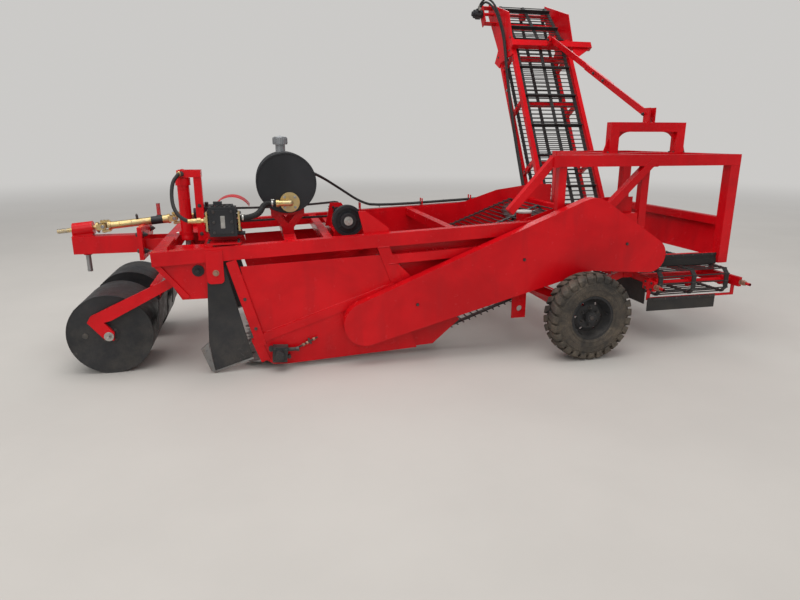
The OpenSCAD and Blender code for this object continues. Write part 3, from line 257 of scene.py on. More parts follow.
class Effects:
    """Shader node groups that several finishes share, each built once."""

    made: dict[str, Tree] = {}

    @classmethod
    def group(cls, name: str, inputs: Sequence[tuple[str, str, float]], output: str,
              wire: Callable[[Sheet, Node], Socket]) -> Tree:
        """Builds a group the first time it is asked for.

        Args:
            name: The group's name.
            inputs: Name, socket type and default of each input.
            output: Name of its one output.
            wire: Wires the inside, and gives the socket that goes out.

        Returns:
            The group's tree.
        """
        if name in cls.made:
            return cls.made[name]
        tree = bpy.data.node_groups.new(name, "ShaderNodeTree")
        for label, kind, default in inputs:
            socket = tree.interface.new_socket(name=label, in_out="INPUT", socket_type=kind)
            if kind == "NodeSocketFloat":
                socket.default_value = default
        tree.interface.new_socket(name=output, in_out="OUTPUT", socket_type="NodeSocketFloat")
        sheet = Sheet(tree)
        entry = sheet.add("NodeGroupInput")
        sheet.add("NodeGroupOutput", {0: wire(sheet, entry)})
        cls.made[name] = tree
        return tree

    @classmethod
    def patches(cls) -> Tree:
        """Soft cloudy patches, as uneven paint or oxide has."""
        def wire(sheet: Sheet, entry: Node) -> Socket:
            broad = sheet.noise(entry.outputs[0], entry.outputs[1], 4.0, 0.6, 0.4)
            return sheet.spread(broad, 0.34, 0.66)
        return cls.group("soft_patches", [("Vector", "NodeSocketVector", 0), ("Scale", "NodeSocketFloat", 3.0)],
                         "Mask", wire)

    @classmethod
    def scuffs(cls) -> Tree:
        """Thin scratches and rubbed spots that come in clusters."""
        def wire(sheet: Sheet, entry: Node) -> Socket:
            where, scale, cover = entry.outputs[0], entry.outputs[1], entry.outputs[2]
            tilted = sheet.add("ShaderNodeMapping", {0: where, "Rotation": (0.5, 0.3, 0.9), "Scale": (1.0, 0.12, 1.6)})
            lines = sheet.noise(tilted.outputs[0], sheet.maths("MULTIPLY", scale, 6.0), 5.0, 0.7, 1.2)
            thin = sheet.spread(lines, 0.60, 0.68)
            spots = sheet.spread(sheet.noise(where, sheet.maths("MULTIPLY", scale, 9.0), 6.0, 0.75), 0.62, 0.70)
            cluster = sheet.noise(where, scale, 2.0, 0.5)
            edge = sheet.maths("SUBTRACT", 0.78, sheet.maths("MULTIPLY", cover, 0.45))
            zone = sheet.spread(cluster, edge, sheet.maths("ADD", edge, 0.14))
            return sheet.maths("MULTIPLY", sheet.maths("MAXIMUM", thin, spots), zone)
        return cls.group("scuffs", [("Vector", "NodeSocketVector", 0), ("Scale", "NodeSocketFloat", 6.0),
                                    ("Cover", "NodeSocketFloat", 0.4)], "Mask", wire)

    @classmethod
    def dust(cls) -> Tree:
        """Yard dust: thick low down and on faces that look up, broken by noise."""
        def wire(sheet: Sheet, entry: Node) -> Socket:
            where, facing, top, amount = (entry.outputs[i] for i in range(4))
            height = sheet.add("ShaderNodeSeparateXYZ", {0: where}).outputs[2]
            up = sheet.add("ShaderNodeSeparateXYZ", {0: facing}).outputs[2]
            low = sheet.add("ShaderNodeMapRange", {"Value": height, "From Min": 0.0, "From Max": top,
                                                   "To Min": 1.0, "To Max": 0.0}).outputs[0]
            lying = sheet.maths("MULTIPLY", sheet.spread(up, 0.3, 1.0), 0.45)
            broken = sheet.spread(sheet.noise(where, 7.0, 6.0, 0.68), 0.30, 0.72)
            fine = sheet.spread(sheet.noise(where, 90.0, 4.0, 0.7), 0.2, 0.7, 0.55, 1.0)
            cover = sheet.maths("MULTIPLY", sheet.maths("ADD", low, lying), broken)
            return sheet.maths("MULTIPLY", sheet.maths("MULTIPLY", cover, fine), amount)
        return cls.group("yard_dust", [("Vector", "NodeSocketVector", 0), ("Normal", "NodeSocketVector", 0),
                                       ("Top", "NodeSocketFloat", 0.8), ("Amount", "NodeSocketFloat", 0.3)],
                         "Mask", wire)

    @classmethod
    def grain(cls) -> Tree:
        """Height of a fine grain over slow waves: peel of paint, cast skin or rubber."""
        def wire(sheet: Sheet, entry: Node) -> Socket:
            where, scale, waves = entry.outputs[0], entry.outputs[1], entry.outputs[2]
            fine = sheet.noise(where, scale, 3.0, 0.6)
            slow = sheet.maths("MULTIPLY", sheet.noise(where, 5.0, 2.0, 0.5), waves)
            return sheet.maths("ADD", fine, slow)
        return cls.group("surface_grain", [("Vector", "NodeSocketVector", 0), ("Scale", "NodeSocketFloat", 200.0),
                                           ("Waves", "NodeSocketFloat", 0.0)], "Height", wire)


@dataclass(frozen=True)
class Finish:
    """What every finish has: two tones in patches, scuffs, dust, grain and softly broken edges."""

    name: str
    tone: Colour
    shade: Colour
    scuff_tone: Colour = (0.3, 0.3, 0.3)
    dust_tone: Colour = (0.30, 0.25, 0.19)
    patch_scale: float = 1.6
    scuff_scale: float = 5.0
    scuff_cover: float = 0.3
    dust_top: float = 0.9
    dust_amount: float = 0.25
    rough_low: float = 0.30
    rough_high: float = 0.48
    grain_scale: float = 260.0
    grain_waves: float = 0.0
    grain_depth: float = 0.0006
    metallic: float = 0.0
    coat: float = 0.0
    shine: float = 0.32
    edge_radius: float = 0.0016

    def effect(self, sheet: Sheet, tree: Tree, sockets: dict[str, object]) -> Socket:
        """Places a shared group with this finish's own values."""
        return sheet.add("ShaderNodeGroup", sockets, node_tree=tree).outputs[0]

    def material(self) -> bpy.types.Material:
        """Builds the material once.

        Returns:
            The Blender material of this finish.
        """
        found = bpy.data.materials.get(self.name)
        if found:
            return found
        material = bpy.data.materials.new(self.name)
        sheet = blank_sheet(material)
        where = sheet.add("ShaderNodeTexCoord").outputs["Object"]
        facing = sheet.add("ShaderNodeNewGeometry").outputs["Normal"]
        patches = self.effect(sheet, Effects.patches(), {"Vector": where, "Scale": self.patch_scale})
        scuffs = self.effect(sheet, Effects.scuffs(), {"Vector": where, "Scale": self.scuff_scale,
                                                       "Cover": self.scuff_cover})
        dust = self.effect(sheet, Effects.dust(), {"Vector": where, "Normal": facing, "Top": self.dust_top,
                                                   "Amount": self.dust_amount})
        grain = self.effect(sheet, Effects.grain(), {"Vector": where, "Scale": self.grain_scale,
                                                     "Waves": self.grain_waves})
        colour = sheet.mix(patches, self.tone, self.shade)
        colour = sheet.mix(scuffs, self.worn(sheet, where, colour), self.scuff_tone)
        colour = sheet.mix(dust, colour, self.dust_tone)
        rough = sheet.spread(sheet.noise(where, 14.0, 5.0, 0.65), 0.3, 0.7, self.rough_low, self.rough_high)
        rough = sheet.maths("ADD", rough, sheet.maths("MULTIPLY", dust, 0.35))
        bevel = sheet.add("ShaderNodeBevel", {"Radius": self.edge_radius}, samples=4)
        bump = sheet.add("ShaderNodeBump", {"Height": grain, "Distance": self.grain_depth, "Strength": 1.0,
                                            "Normal": bevel.outputs[0]})
        shader = sheet.add("ShaderNodeBsdfPrincipled", {"Base Color": colour, "Roughness": rough,
                                                        "Normal": bump.outputs[0], "Metallic": self.metallic,
                                                        "Coat Weight": self.coat, "Coat Roughness": 0.12,
                                                        "Specular IOR Level": self.shine})
        sheet.add("ShaderNodeOutputMaterial", {0: shader.outputs[0]})
        return material

    def worn(self, sheet: Sheet, where: Socket, colour: Socket) -> Socket:
        """Colour under the scuffs; a finish with more to show adds to it here."""
        return colour


@dataclass(frozen=True)
class GlossPaint(Finish):
    """Brushed-on gloss paint with slow vertical runs."""

    run_tone: Colour = (0.42, 0.006, 0.010)

    def worn(self, sheet: Sheet, where: Socket, colour: Socket) -> Socket:
        """Adds slow vertical runs to the paint's tone."""
        drawn = sheet.add("ShaderNodeMapping", {0: where, "Scale": (1.0, 1.0, 0.22)})
        runs = sheet.spread(sheet.noise(drawn.outputs[0], 9.0, 3.0, 0.5, 0.2), 0.50, 0.74)
        return sheet.mix(sheet.maths("MULTIPLY", runs, 0.40), colour, self.run_tone)


@dataclass(frozen=True)
class RawMetal(Finish):
    """Uncoated or plated metal with rust or tarnish blooms."""

    bloom_tone: Colour = (0.22, 0.11, 0.06)
    bloom_share: float = 0.4

    def worn(self, sheet: Sheet, where: Socket, colour: Socket) -> Socket:
        """Adds blooms of rust or tarnish."""
        bloom = sheet.spread(sheet.noise(where, 26.0, 7.0, 0.72, 0.6), 0.50, 0.72)
        return sheet.mix(sheet.maths("MULTIPLY", bloom, self.bloom_share), colour, self.bloom_tone)


@dataclass(frozen=True)
class DustyRubber(Finish):
    """Tyre rubber with dried soil in its low spots and rubbed-dark high ones."""

    soil_tone: Colour = (0.20, 0.155, 0.11)

    def worn(self, sheet: Sheet, where: Socket, colour: Socket) -> Socket:
        """Adds dried soil in irregular smears."""
        smear = sheet.spread(sheet.noise(where, 5.5, 8.0, 0.74, 0.5), 0.36, 0.64)
        speck = sheet.spread(sheet.noise(where, 70.0, 5.0, 0.7), 0.32, 0.66, 0.35, 1.0)
        return sheet.mix(sheet.maths("MULTIPLY", sheet.maths("MULTIPLY", smear, speck), 0.62), colour, self.soil_tone)


FRAME_PAINT = GlossPaint("red_gloss_paint", (0.66, 0.004, 0.009), (0.50, 0.002, 0.006), scuff_tone=(0.36, 0.010, 0.012),
                         scuff_cover=0.03, dust_amount=0.015, rough_low=0.16, rough_high=0.28, grain_waves=6.0,
                         grain_depth=0.0008, coat=0.06, shine=0.22, edge_radius=0.0024)
ROLLER_PAINT = Finish("black_satin_paint", (0.016, 0.017, 0.019), (0.026, 0.027, 0.030), scuff_tone=(0.13, 0.12, 0.11),
                      scuff_cover=0.42, dust_amount=0.16, rough_low=0.30, rough_high=0.50, grain_waves=3.0)
BARE_STEEL = RawMetal("worn_bare_steel", (0.40, 0.40, 0.40), (0.27, 0.27, 0.27), scuff_tone=(0.62, 0.61, 0.60),
                      scuff_cover=0.6, dust_amount=0.30, rough_low=0.34, rough_high=0.58, metallic=0.85)
GOLD_PLATE = RawMetal("yellow_plating", (0.74, 0.54, 0.22), (0.62, 0.50, 0.27), scuff_tone=(0.60, 0.57, 0.52),
                      bloom_tone=(0.50, 0.30, 0.16), bloom_share=0.55, scuff_cover=0.5, dust_amount=0.12,
                      patch_scale=14.0, rough_low=0.26, rough_high=0.46, metallic=0.9)
HOSE_RUBBER = Finish("hose_rubber_wrap", (0.020, 0.020, 0.020), (0.030, 0.029, 0.028), scuff_tone=(0.10, 0.09, 0.08),
                     rough_low=0.50, rough_high=0.70, grain_scale=420.0, grain_depth=0.0008, dust_amount=0.16)
WEB_BLACK = RawMetal("rod_web_black", (0.024, 0.024, 0.026), (0.040, 0.038, 0.038), scuff_tone=(0.20, 0.19, 0.18),
                     bloom_tone=(0.060, 0.050, 0.044), bloom_share=0.5, scuff_cover=0.45, dust_amount=0.12,
                     rough_low=0.34, rough_high=0.55, metallic=0.25)
TYRE_RUBBER = DustyRubber("dusty_tyre_rubber", (0.030, 0.028, 0.026), (0.044, 0.040, 0.036),
                          dust_tone=(0.21, 0.165, 0.12), dust_top=0.75, dust_amount=0.45, rough_low=0.62,
                          rough_high=0.85, grain_scale=160.0, grain_depth=0.0014, edge_radius=0.003)
CAST_BLACK = Finish("rough_cast_black", (0.020, 0.021, 0.023), (0.032, 0.033, 0.036), scuff_tone=(0.16, 0.15, 0.14),
                    rough_low=0.40, rough_high=0.62, grain_scale=130.0, grain_depth=0.0016, edge_radius=0.003,
                    scuff_cover=0.35)
CAP_GREY = Finish("cap_grey_metal", (0.30, 0.31, 0.32), (0.40, 0.41, 0.42), rough_low=0.35, rough_high=0.55,
                  metallic=0.55, dust_amount=0.2)
BRIGHT_ZINC = RawMetal("bright_zinc", (0.58, 0.57, 0.54), (0.46, 0.45, 0.42), bloom_tone=(0.34, 0.24, 0.16),
                       bloom_share=0.35, patch_scale=20.0, rough_low=0.28, rough_high=0.46, metallic=0.9,
                       edge_radius=0.0006)
DARK_FASTENER = RawMetal("dark_fastener", (0.060, 0.060, 0.064), (0.095, 0.090, 0.086), bloom_tone=(0.16, 0.09, 0.05),
                         bloom_share=0.45, patch_scale=20.0, rough_low=0.34, rough_high=0.55, metallic=0.6,
                         edge_radius=0.0006)
COPPER_NUT = RawMetal("coppery_nut", (0.50, 0.27, 0.19), (0.42, 0.30, 0.22), bloom_tone=(0.24, 0.12, 0.07),
                      bloom_share=0.4, patch_scale=20.0, rough_low=0.32, rough_high=0.5, metallic=0.8,
                      edge_radius=0.0006)
PALE_CAP = Finish("soft_pale_cap", (0.62, 0.60, 0.57), (0.50, 0.48, 0.45), rough_low=0.45, rough_high=0.65)

NODE_FINISHES: dict[Slot, Finish] = {
    Slot.RED: FRAME_PAINT, Slot.BLACK: ROLLER_PAINT, Slot.BARE: BARE_STEEL, Slot.GOLD: GOLD_PLATE,
    Slot.HOSE: HOSE_RUBBER, Slot.WEB: WEB_BLACK, Slot.TYRE: TYRE_RUBBER, Slot.CAST: CAST_BLACK, Slot.CAP: CAP_GREY,
}


class Forge:
    """Gathers turned, bent and flat forms into one mesh, in a frame of its own."""

    def __init__(self, frame: Matrix | None = None) -> None:
        """Starts empty, in the given frame of the machine."""
        self.frame = TO_ROW @ (frame if frame is not None else Matrix.Identity(4))
        self.points: list[Vector] = []
        self.faces: list[tuple[int, ...]] = []

    def ring(self, points: Sequence[Vector]) -> list[int]:
        """Adds points and gives their numbers."""
        start = len(self.points)
        self.points.extend(self.frame @ p for p in points)
        return list(range(start, start + len(points)))

    def skin(self, a: Sequence[int], b: Sequence[int]) -> None:
        """Joins two closed rings of the same count with quads."""
        n = len(a)
        self.faces.extend((a[i], a[(i + 1) % n], b[(i + 1) % n], b[i]) for i in range(n))

    def circles(self, start: Vector, axis: Vector, profile: Profile, sides: int,
                spin: float) -> list[list[int]]:
        """Adds one ring round an axis for each (radius, height) pair, and gives their numbers."""
        axis = axis.normalized()
        u = axis.orthogonal().normalized()
        v = axis.cross(u)
        turns = [spin + 2 * math.pi * k / sides for k in range(sides)]
        return [self.ring([start + axis * height + radius * (math.cos(a) * u + math.sin(a) * v) for a in turns])
                for radius, height in profile]

    def lathe(self, start: Vector, axis: Vector, profile: Profile, sides: int = 24,
              spin: float = 0.0) -> None:
        """Turns a profile about an axis.

        Args:
            start: Point on the axis that heights are measured from.
            axis: Direction of the axis.
            profile: (radius, height) pairs in order; the ends are capped where the radius isn't 0.
            sides: Number of sides.
            spin: Turn of the first corner, in radians.
        """
        rings = self.circles(start, axis, [(max(radius, 1e-5), height) for radius, height in profile], sides, spin)
        for a, b in zip(rings, rings[1:]):
            self.skin(a, b)
        self.faces.append(tuple(reversed(rings[0])))
        self.faces.append(tuple(rings[-1]))

    def hoop(self, start: Vector, axis: Vector, profile: Profile, sides: int = 32) -> None:
        """Turns a closed profile about an axis, as for a ring, with (radius, height) pairs going round it."""
        rings = self.circles(start, axis, profile, sides, 0.0)
        for a, b in zip(rings, rings[1:] + rings[:1]):
            self.skin(a, b)

    def band(self, centre: Vector, axis: Vector, radius: float, rise: float, half: float, sides: int) -> None:
        """Adds a raised ring, peaked in its middle, on a round form of the given radius."""
        self.hoop(centre, axis, [(radius, -half), (radius + rise, 0.0), (radius, half)], sides)

    def tube(self, path: Sequence[Vector], radius: float | Sequence[float], sides: int = 8) -> None:
        """Sweeps a round section along a path.

        Args:
            path: Points of the centre line.
            radius: One radius, or one for each point.
            sides: Number of sides.
        """
        n = len(path)
        radii = [radius] * n if isinstance(radius, (int, float)) else list(radius)
        side = (path[1] - path[0]).orthogonal().normalized()
        last: list[int] = []
        first: list[int] = []
        for i in range(n):
            along = (path[min(i + 1, n - 1)] - path[max(i - 1, 0)]).normalized()
            side = (side - along * side.dot(along)).normalized()
            up = along.cross(side)
            now = self.ring([path[i] + radii[i] * (math.cos(2 * math.pi * k / sides) * side
                                                   + math.sin(2 * math.pi * k / sides) * up) for k in range(sides)])
            if last:
                self.skin(last, now)
            first = first or now
            last = now
        self.faces.append(tuple(reversed(first)))
        self.faces.append(tuple(last))

    def slab(self, centre: Vector, size: Vector, turn: Matrix | None = None, soften: float = 0.001) -> None:
        """Adds a flat block with softened edges.

        Args:
            centre: Its middle.
            size: Its full size along X, Y and Z.
            turn: Rotation about its middle.
            soften: Width of the chamfer on each edge.
        """
        turn = turn.to_3x3() if turn else Matrix.Identity(3)
        h = size / 2
        c = min(soften, min(h) * 0.9)
        corner: dict[tuple[int, int, int, int], int] = {}
        for signs in product(SIDES, repeat=3):
            for axis in range(3):
                p = at(*(sign * (half - c) for sign, half in zip(signs, h)))
                p[axis] = signs[axis] * h[axis]
                corner[(*signs, axis)] = self.ring([centre + turn @ p])[0]
        for axis in range(3):
            b, d = (axis + 1) % 3, (axis + 2) % 3
            for s in SIDES:
                loop = []
                for t, w in ((-1, -1), (1, -1), (1, 1), (-1, 1)):
                    key = [0, 0, 0]
                    key[axis], key[b], key[d] = s, t, w
                    loop.append(corner[(*key, axis)])
                self.faces.append(tuple(loop if s > 0 else reversed(loop)))
            for t, w in product(SIDES, repeat=2):
                quad = []
                for s, a in ((-1, b), (1, b), (1, d), (-1, d)):
                    key = [0, 0, 0]
                    key[axis], key[b], key[d] = s, t, w
                    quad.append(corner[(*key, a)])
                self.faces.append(tuple(quad if t * w > 0 else reversed(quad)))
        for signs in product(SIDES, repeat=3):
            tri = [corner[(*signs, a)] for a in range(3)]
            self.faces.append(tuple(tri if math.prod(signs) > 0 else reversed(tri)))

    def prism(self, outline: Profile, origin: Vector, u: Vector, v: Vector, depth: float) -> None:
        """Extrudes a flat outline.

        Args:
            outline: (u, v) pairs in order.
            origin: Where (0, 0) lies.
            u: Direction of the first number.
            v: Direction of the second.
            depth: Thickness, along u cross v.
        """
        w = u.cross(v).normalized() * depth
        low = self.ring([origin + u * a + v * b for a, b in outline])
        high = self.ring([origin + u * a + v * b + w for a, b in outline])
        self.skin(low, high)
        self.faces.append(tuple(reversed(low)))
        self.faces.append(tuple(high))

    def bolt(self, seat: Vector, axis: Vector, across: float, washer: float = 2.0, spin: float = 0.3,
             stud: float = 0.0) -> None:
        """Adds a hexagon head on its washer.

        Args:
            seat: Point on the surface under the washer.
            axis: Direction away from the surface.
            across: Width across the corners.
            washer: Washer's diameter as a multiple of that width, or 0 for none.
            spin: Turn of the head.
            stud: Length of thread that stands out of it, which makes it a nut.
        """
        axis = axis.normalized()
        r = across / 2
        seat = seat - axis * 0.0006
        if washer:
            t = r * 0.28
            self.lathe(seat, axis, [(r * washer, 0), (r * washer, t * 0.8), (r * washer * 0.95, t)], 20)
            seat = seat + axis * t
        self.lathe(seat, axis, [(r, 0), (r, r * 0.9), (r * 0.9, r * 1.15), (r * 0.62, r * 1.17)], 6, spin)
        if stud:
            turns = max(2, int(stud / (r * 0.22)))
            ridges = [(r * (0.55 if k % 2 else 0.48), r * 1.1 + stud * k / turns) for k in range(turns)]
            self.lathe(seat, axis, [*ridges, (r * 0.40, r * 1.1 + stud)], 12)

    def thread(self, a: Vector, b: Vector, radius: float, pitch: float = 0.004) -> None:
        """Adds a threaded rod from a to b."""
        length = (b - a).length
        count = max(2, int(length / pitch * 2))
        self.lathe(a, b - a, [(radius if k % 2 else radius * 0.86, length * k / count) for k in range(count + 1)], 14)

    def weld(self, a: Vector, b: Vector, radius: float = 0.0045) -> None:
        """Adds a rippled weld bead from a to b."""
        length = (b - a).length
        count = max(4, int(length / 0.006))
        path = [a.lerp(b, k / count) for k in range(count + 1)]
        radii = [radius * (0.82 + 0.22 * (k % 2) + 0.10 * math.sin(k * 2.7)) for k in range(count + 1)]
        radii[0] = radii[-1] = radius * 0.5
        self.tube(path, radii, 6)

    def weld_round(self, centre: Vector, u: Vector, v: Vector, half_u: float, half_v: float,
                   radius: float = 0.0045) -> None:
        """Adds a bead round a rectangular tube's foot, of half sizes along u and v."""
        corners = [centre + u * half_u * a + v * half_v * b for a, b in ((-1, -1), (1, -1), (1, 1), (-1, 1))]
        for i in range(4):
            self.weld(corners[i], corners[(i + 1) % 4], radius)

    def piece(self, name: str, finish: Finish, body: Body, slot: Slot | None = None) -> bpy.types.Object:
        """Makes the object of what was gathered, and lets it ride.

        Args:
            name: The piece's name.
            finish: Its finish.
            body: The CAD body it moves with.
            slot: The record's slot that the finish belongs to, if any; not used.

        Returns:
            The new object.
        """
        mesh = bpy.data.meshes.new(name)
        mesh.from_pydata([tuple(p) for p in self.points], [], self.faces)
        mesh.validate()
        shells = bmesh.new()
        shells.from_mesh(mesh)
        bmesh.ops.recalc_face_normals(shells, faces=shells.faces)
        shells.to_mesh(mesh)
        shells.free()
        mesh.polygons.foreach_set("use_smooth", [True] * len(mesh.polygons))
        mesh.set_sharp_from_angle(angle=math.radians(32))
        obj = bpy.data.objects.new(name, mesh)
        bpy.context.scene.collection.objects.link(obj)
        obj.data.materials.append(finish.material())
        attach(obj, body.value)
        LOG.info("%s: %d faces on %s", name, len(mesh.polygons), body.value)
        return obj


def wheel_body(side: int) -> Body:
    """The wheel's body on one side; -1 is the near side."""
    return Body.WHEEL_LEFT if side < 0 else Body.WHEEL_RIGHT


@dataclass
class TyreTread:
    """Heavy lugged tyre over each rim: carcass, lug blocks that turn down the shoulders, and sidewall rings."""

    radius: float = 0.345
    carcass: float = 0.3235
    half_width: float = 0.093
    bead_radius: float = 0.1757
    centre_y: float = 1.122
    lugs: int = 27
    groove_share: float = 0.21

    def build(self) -> None:
        """Makes both tyres in place of the plain CAD ones."""
        for side in SIDES:
            centre = at(0, side * self.centre_y, self.radius)
            forge = Forge()
            self.shell(forge, centre)
            for half in SIDES:
                for k in range(self.lugs):
                    self.lug(forge, centre, half, 2 * math.pi * (k + (0.5 if half > 0 else 0.0)) / self.lugs)
            tyre = forge.piece(f"lugged_tyre_{side_name(side)}", TYRE_RUBBER, wheel_body(side), Slot.TYRE)
            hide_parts(f"tyre_{side_name(side)}")

    def shell(self, forge: Forge, centre: Vector) -> None:
        """Turns the carcass with its raised sidewall rings."""
        w = self.half_width
        outer = [(self.bead_radius, w - 0.030), (self.bead_radius, w - 0.013), (0.184, w - 0.009), (0.192, w - 0.006),
                 (0.1925, w - 0.003), (0.198, w - 0.003), (0.199, w - 0.0055), (0.212, w - 0.0035), (0.228, w - 0.002),
                 (0.229, w + 0.0002), (0.234, w + 0.0002), (0.235, w - 0.0015), (0.252, w - 0.001), (0.268, w - 0.003),
                 (0.269, w - 0.0008), (0.274, w - 0.0012), (0.275, w - 0.004), (0.292, w - 0.009), (0.308, w - 0.018),
                 (0.318, w - 0.030), (self.carcass, w - 0.055), (self.carcass + 0.0005, 0.0)]
        closed = outer + [(r, -h) for r, h in reversed(outer[:-1])]
        forge.hoop(centre, Y, closed, 108)

    def lug(self, forge: Forge, centre: Vector, half: int, angle: float) -> None:
        """Adds one lug block from the middle groove to low on the sidewall.

        Args:
            forge: Where its mesh goes.
            centre: The wheel's centre.
            half: Side of the tread, -1 or 1.
            angle: Where the lug starts, in radians.
        """
        w = self.half_width
        step = 2 * math.pi / self.lugs
        # Depth from the middle, crown radius, lean and width of each cross-section, the last two in lug steps
        stations = [(0.004, self.radius - 0.0035, 0.0, 0.30), (0.030, self.radius, 0.10, 0.345),
                    (0.058, self.radius - 0.001, 0.26, 0.375),
                    (w - 0.014, self.radius - 0.006, 0.36, 0.395), (w - 0.001, self.radius - 0.017, 0.40, 0.395),
                    (w + 0.0012, self.radius - 0.034, 0.42, 0.36), (w - 0.0015, self.radius - 0.056, 0.43, 0.30)]
        last: list[int] = []
        for y, top, lean, width in stations:
            sunk = min(top - 0.006, self.carcass - 0.004)
            rows = []
            for share, radius, inset in ((-1, sunk, 0.0), (-0.93, top - 0.002, 0.001), (-0.84, top, 0.0),
                                         (0.84, top, 0.0), (0.93, top - 0.002, 0.001), (1, sunk, 0.0)):
                a = angle + step * (lean + share * width)
                depth = y - inset if radius > sunk else min(y, w - 0.012)
                rows.append(centre + at(radius * math.cos(a), half * depth, radius * math.sin(a)))
            now = forge.ring(rows)
            if last:
                order = (last, now) if half > 0 else (now, last)
                forge.skin(order[0], order[1])
            else:
                forge.faces.append(tuple(now if half > 0 else reversed(now)))
            last = now
        forge.faces.append(tuple(reversed(last) if half > 0 else last))


@dataclass
class WheelHardware:
    """Wheel nuts, hub cap screws, valve stem and bead ring of each wheel."""

    centre_y: float = 1.122
    centre_z: float = 0.345
    disc_face: float = 0.022
    nut_circle: float = 0.072
    hub_face: float = 0.071

    def build(self) -> None:
        """Makes the hardware of both wheels."""
        for side in SIDES:
            out = Y * side
            centre = at(0, side * self.centre_y, self.centre_z)
            forge = Forge()
            for k, arm in enumerate(spokes(6, 30)):
                forge.bolt(centre + arm * self.nut_circle + out * self.disc_face, out, 0.024, 1.35, k * 0.2, 0.010)
            for k, arm in enumerate(spokes(4, 45)):
                forge.bolt(centre + arm * 0.030 + out * self.hub_face, out, 0.009, 1.4, k * 0.3)
            hub_cap = [(0.019, -0.001), (0.019, 0.004), (0.012, 0.008), (0.0, 0.009)]
            forge.lathe(centre + out * self.hub_face, out, hub_cap, 20)
            stem = centre + at(0.136, 0, 0.02) + out * 0.028
            forge.tube([stem, stem + out * 0.016, stem + out * 0.034 + X * 0.004], [0.006, 0.0045, 0.0045], 10)
            forge.piece(f"wheel_nuts_{side_name(side)}", DARK_FASTENER, wheel_body(side))
            lip = Forge()
            edge = ((0.1752, 0.0790), (0.1775, 0.0805), (0.1752, 0.0825), (0.1728, 0.0805))
            lip.hoop(centre, Y, [(radius, side * depth) for radius, depth in edge], 72)
            lip.piece(f"rim_lip_{side_name(side)}", ROLLER_PAINT, wheel_body(side), Slot.BLACK)


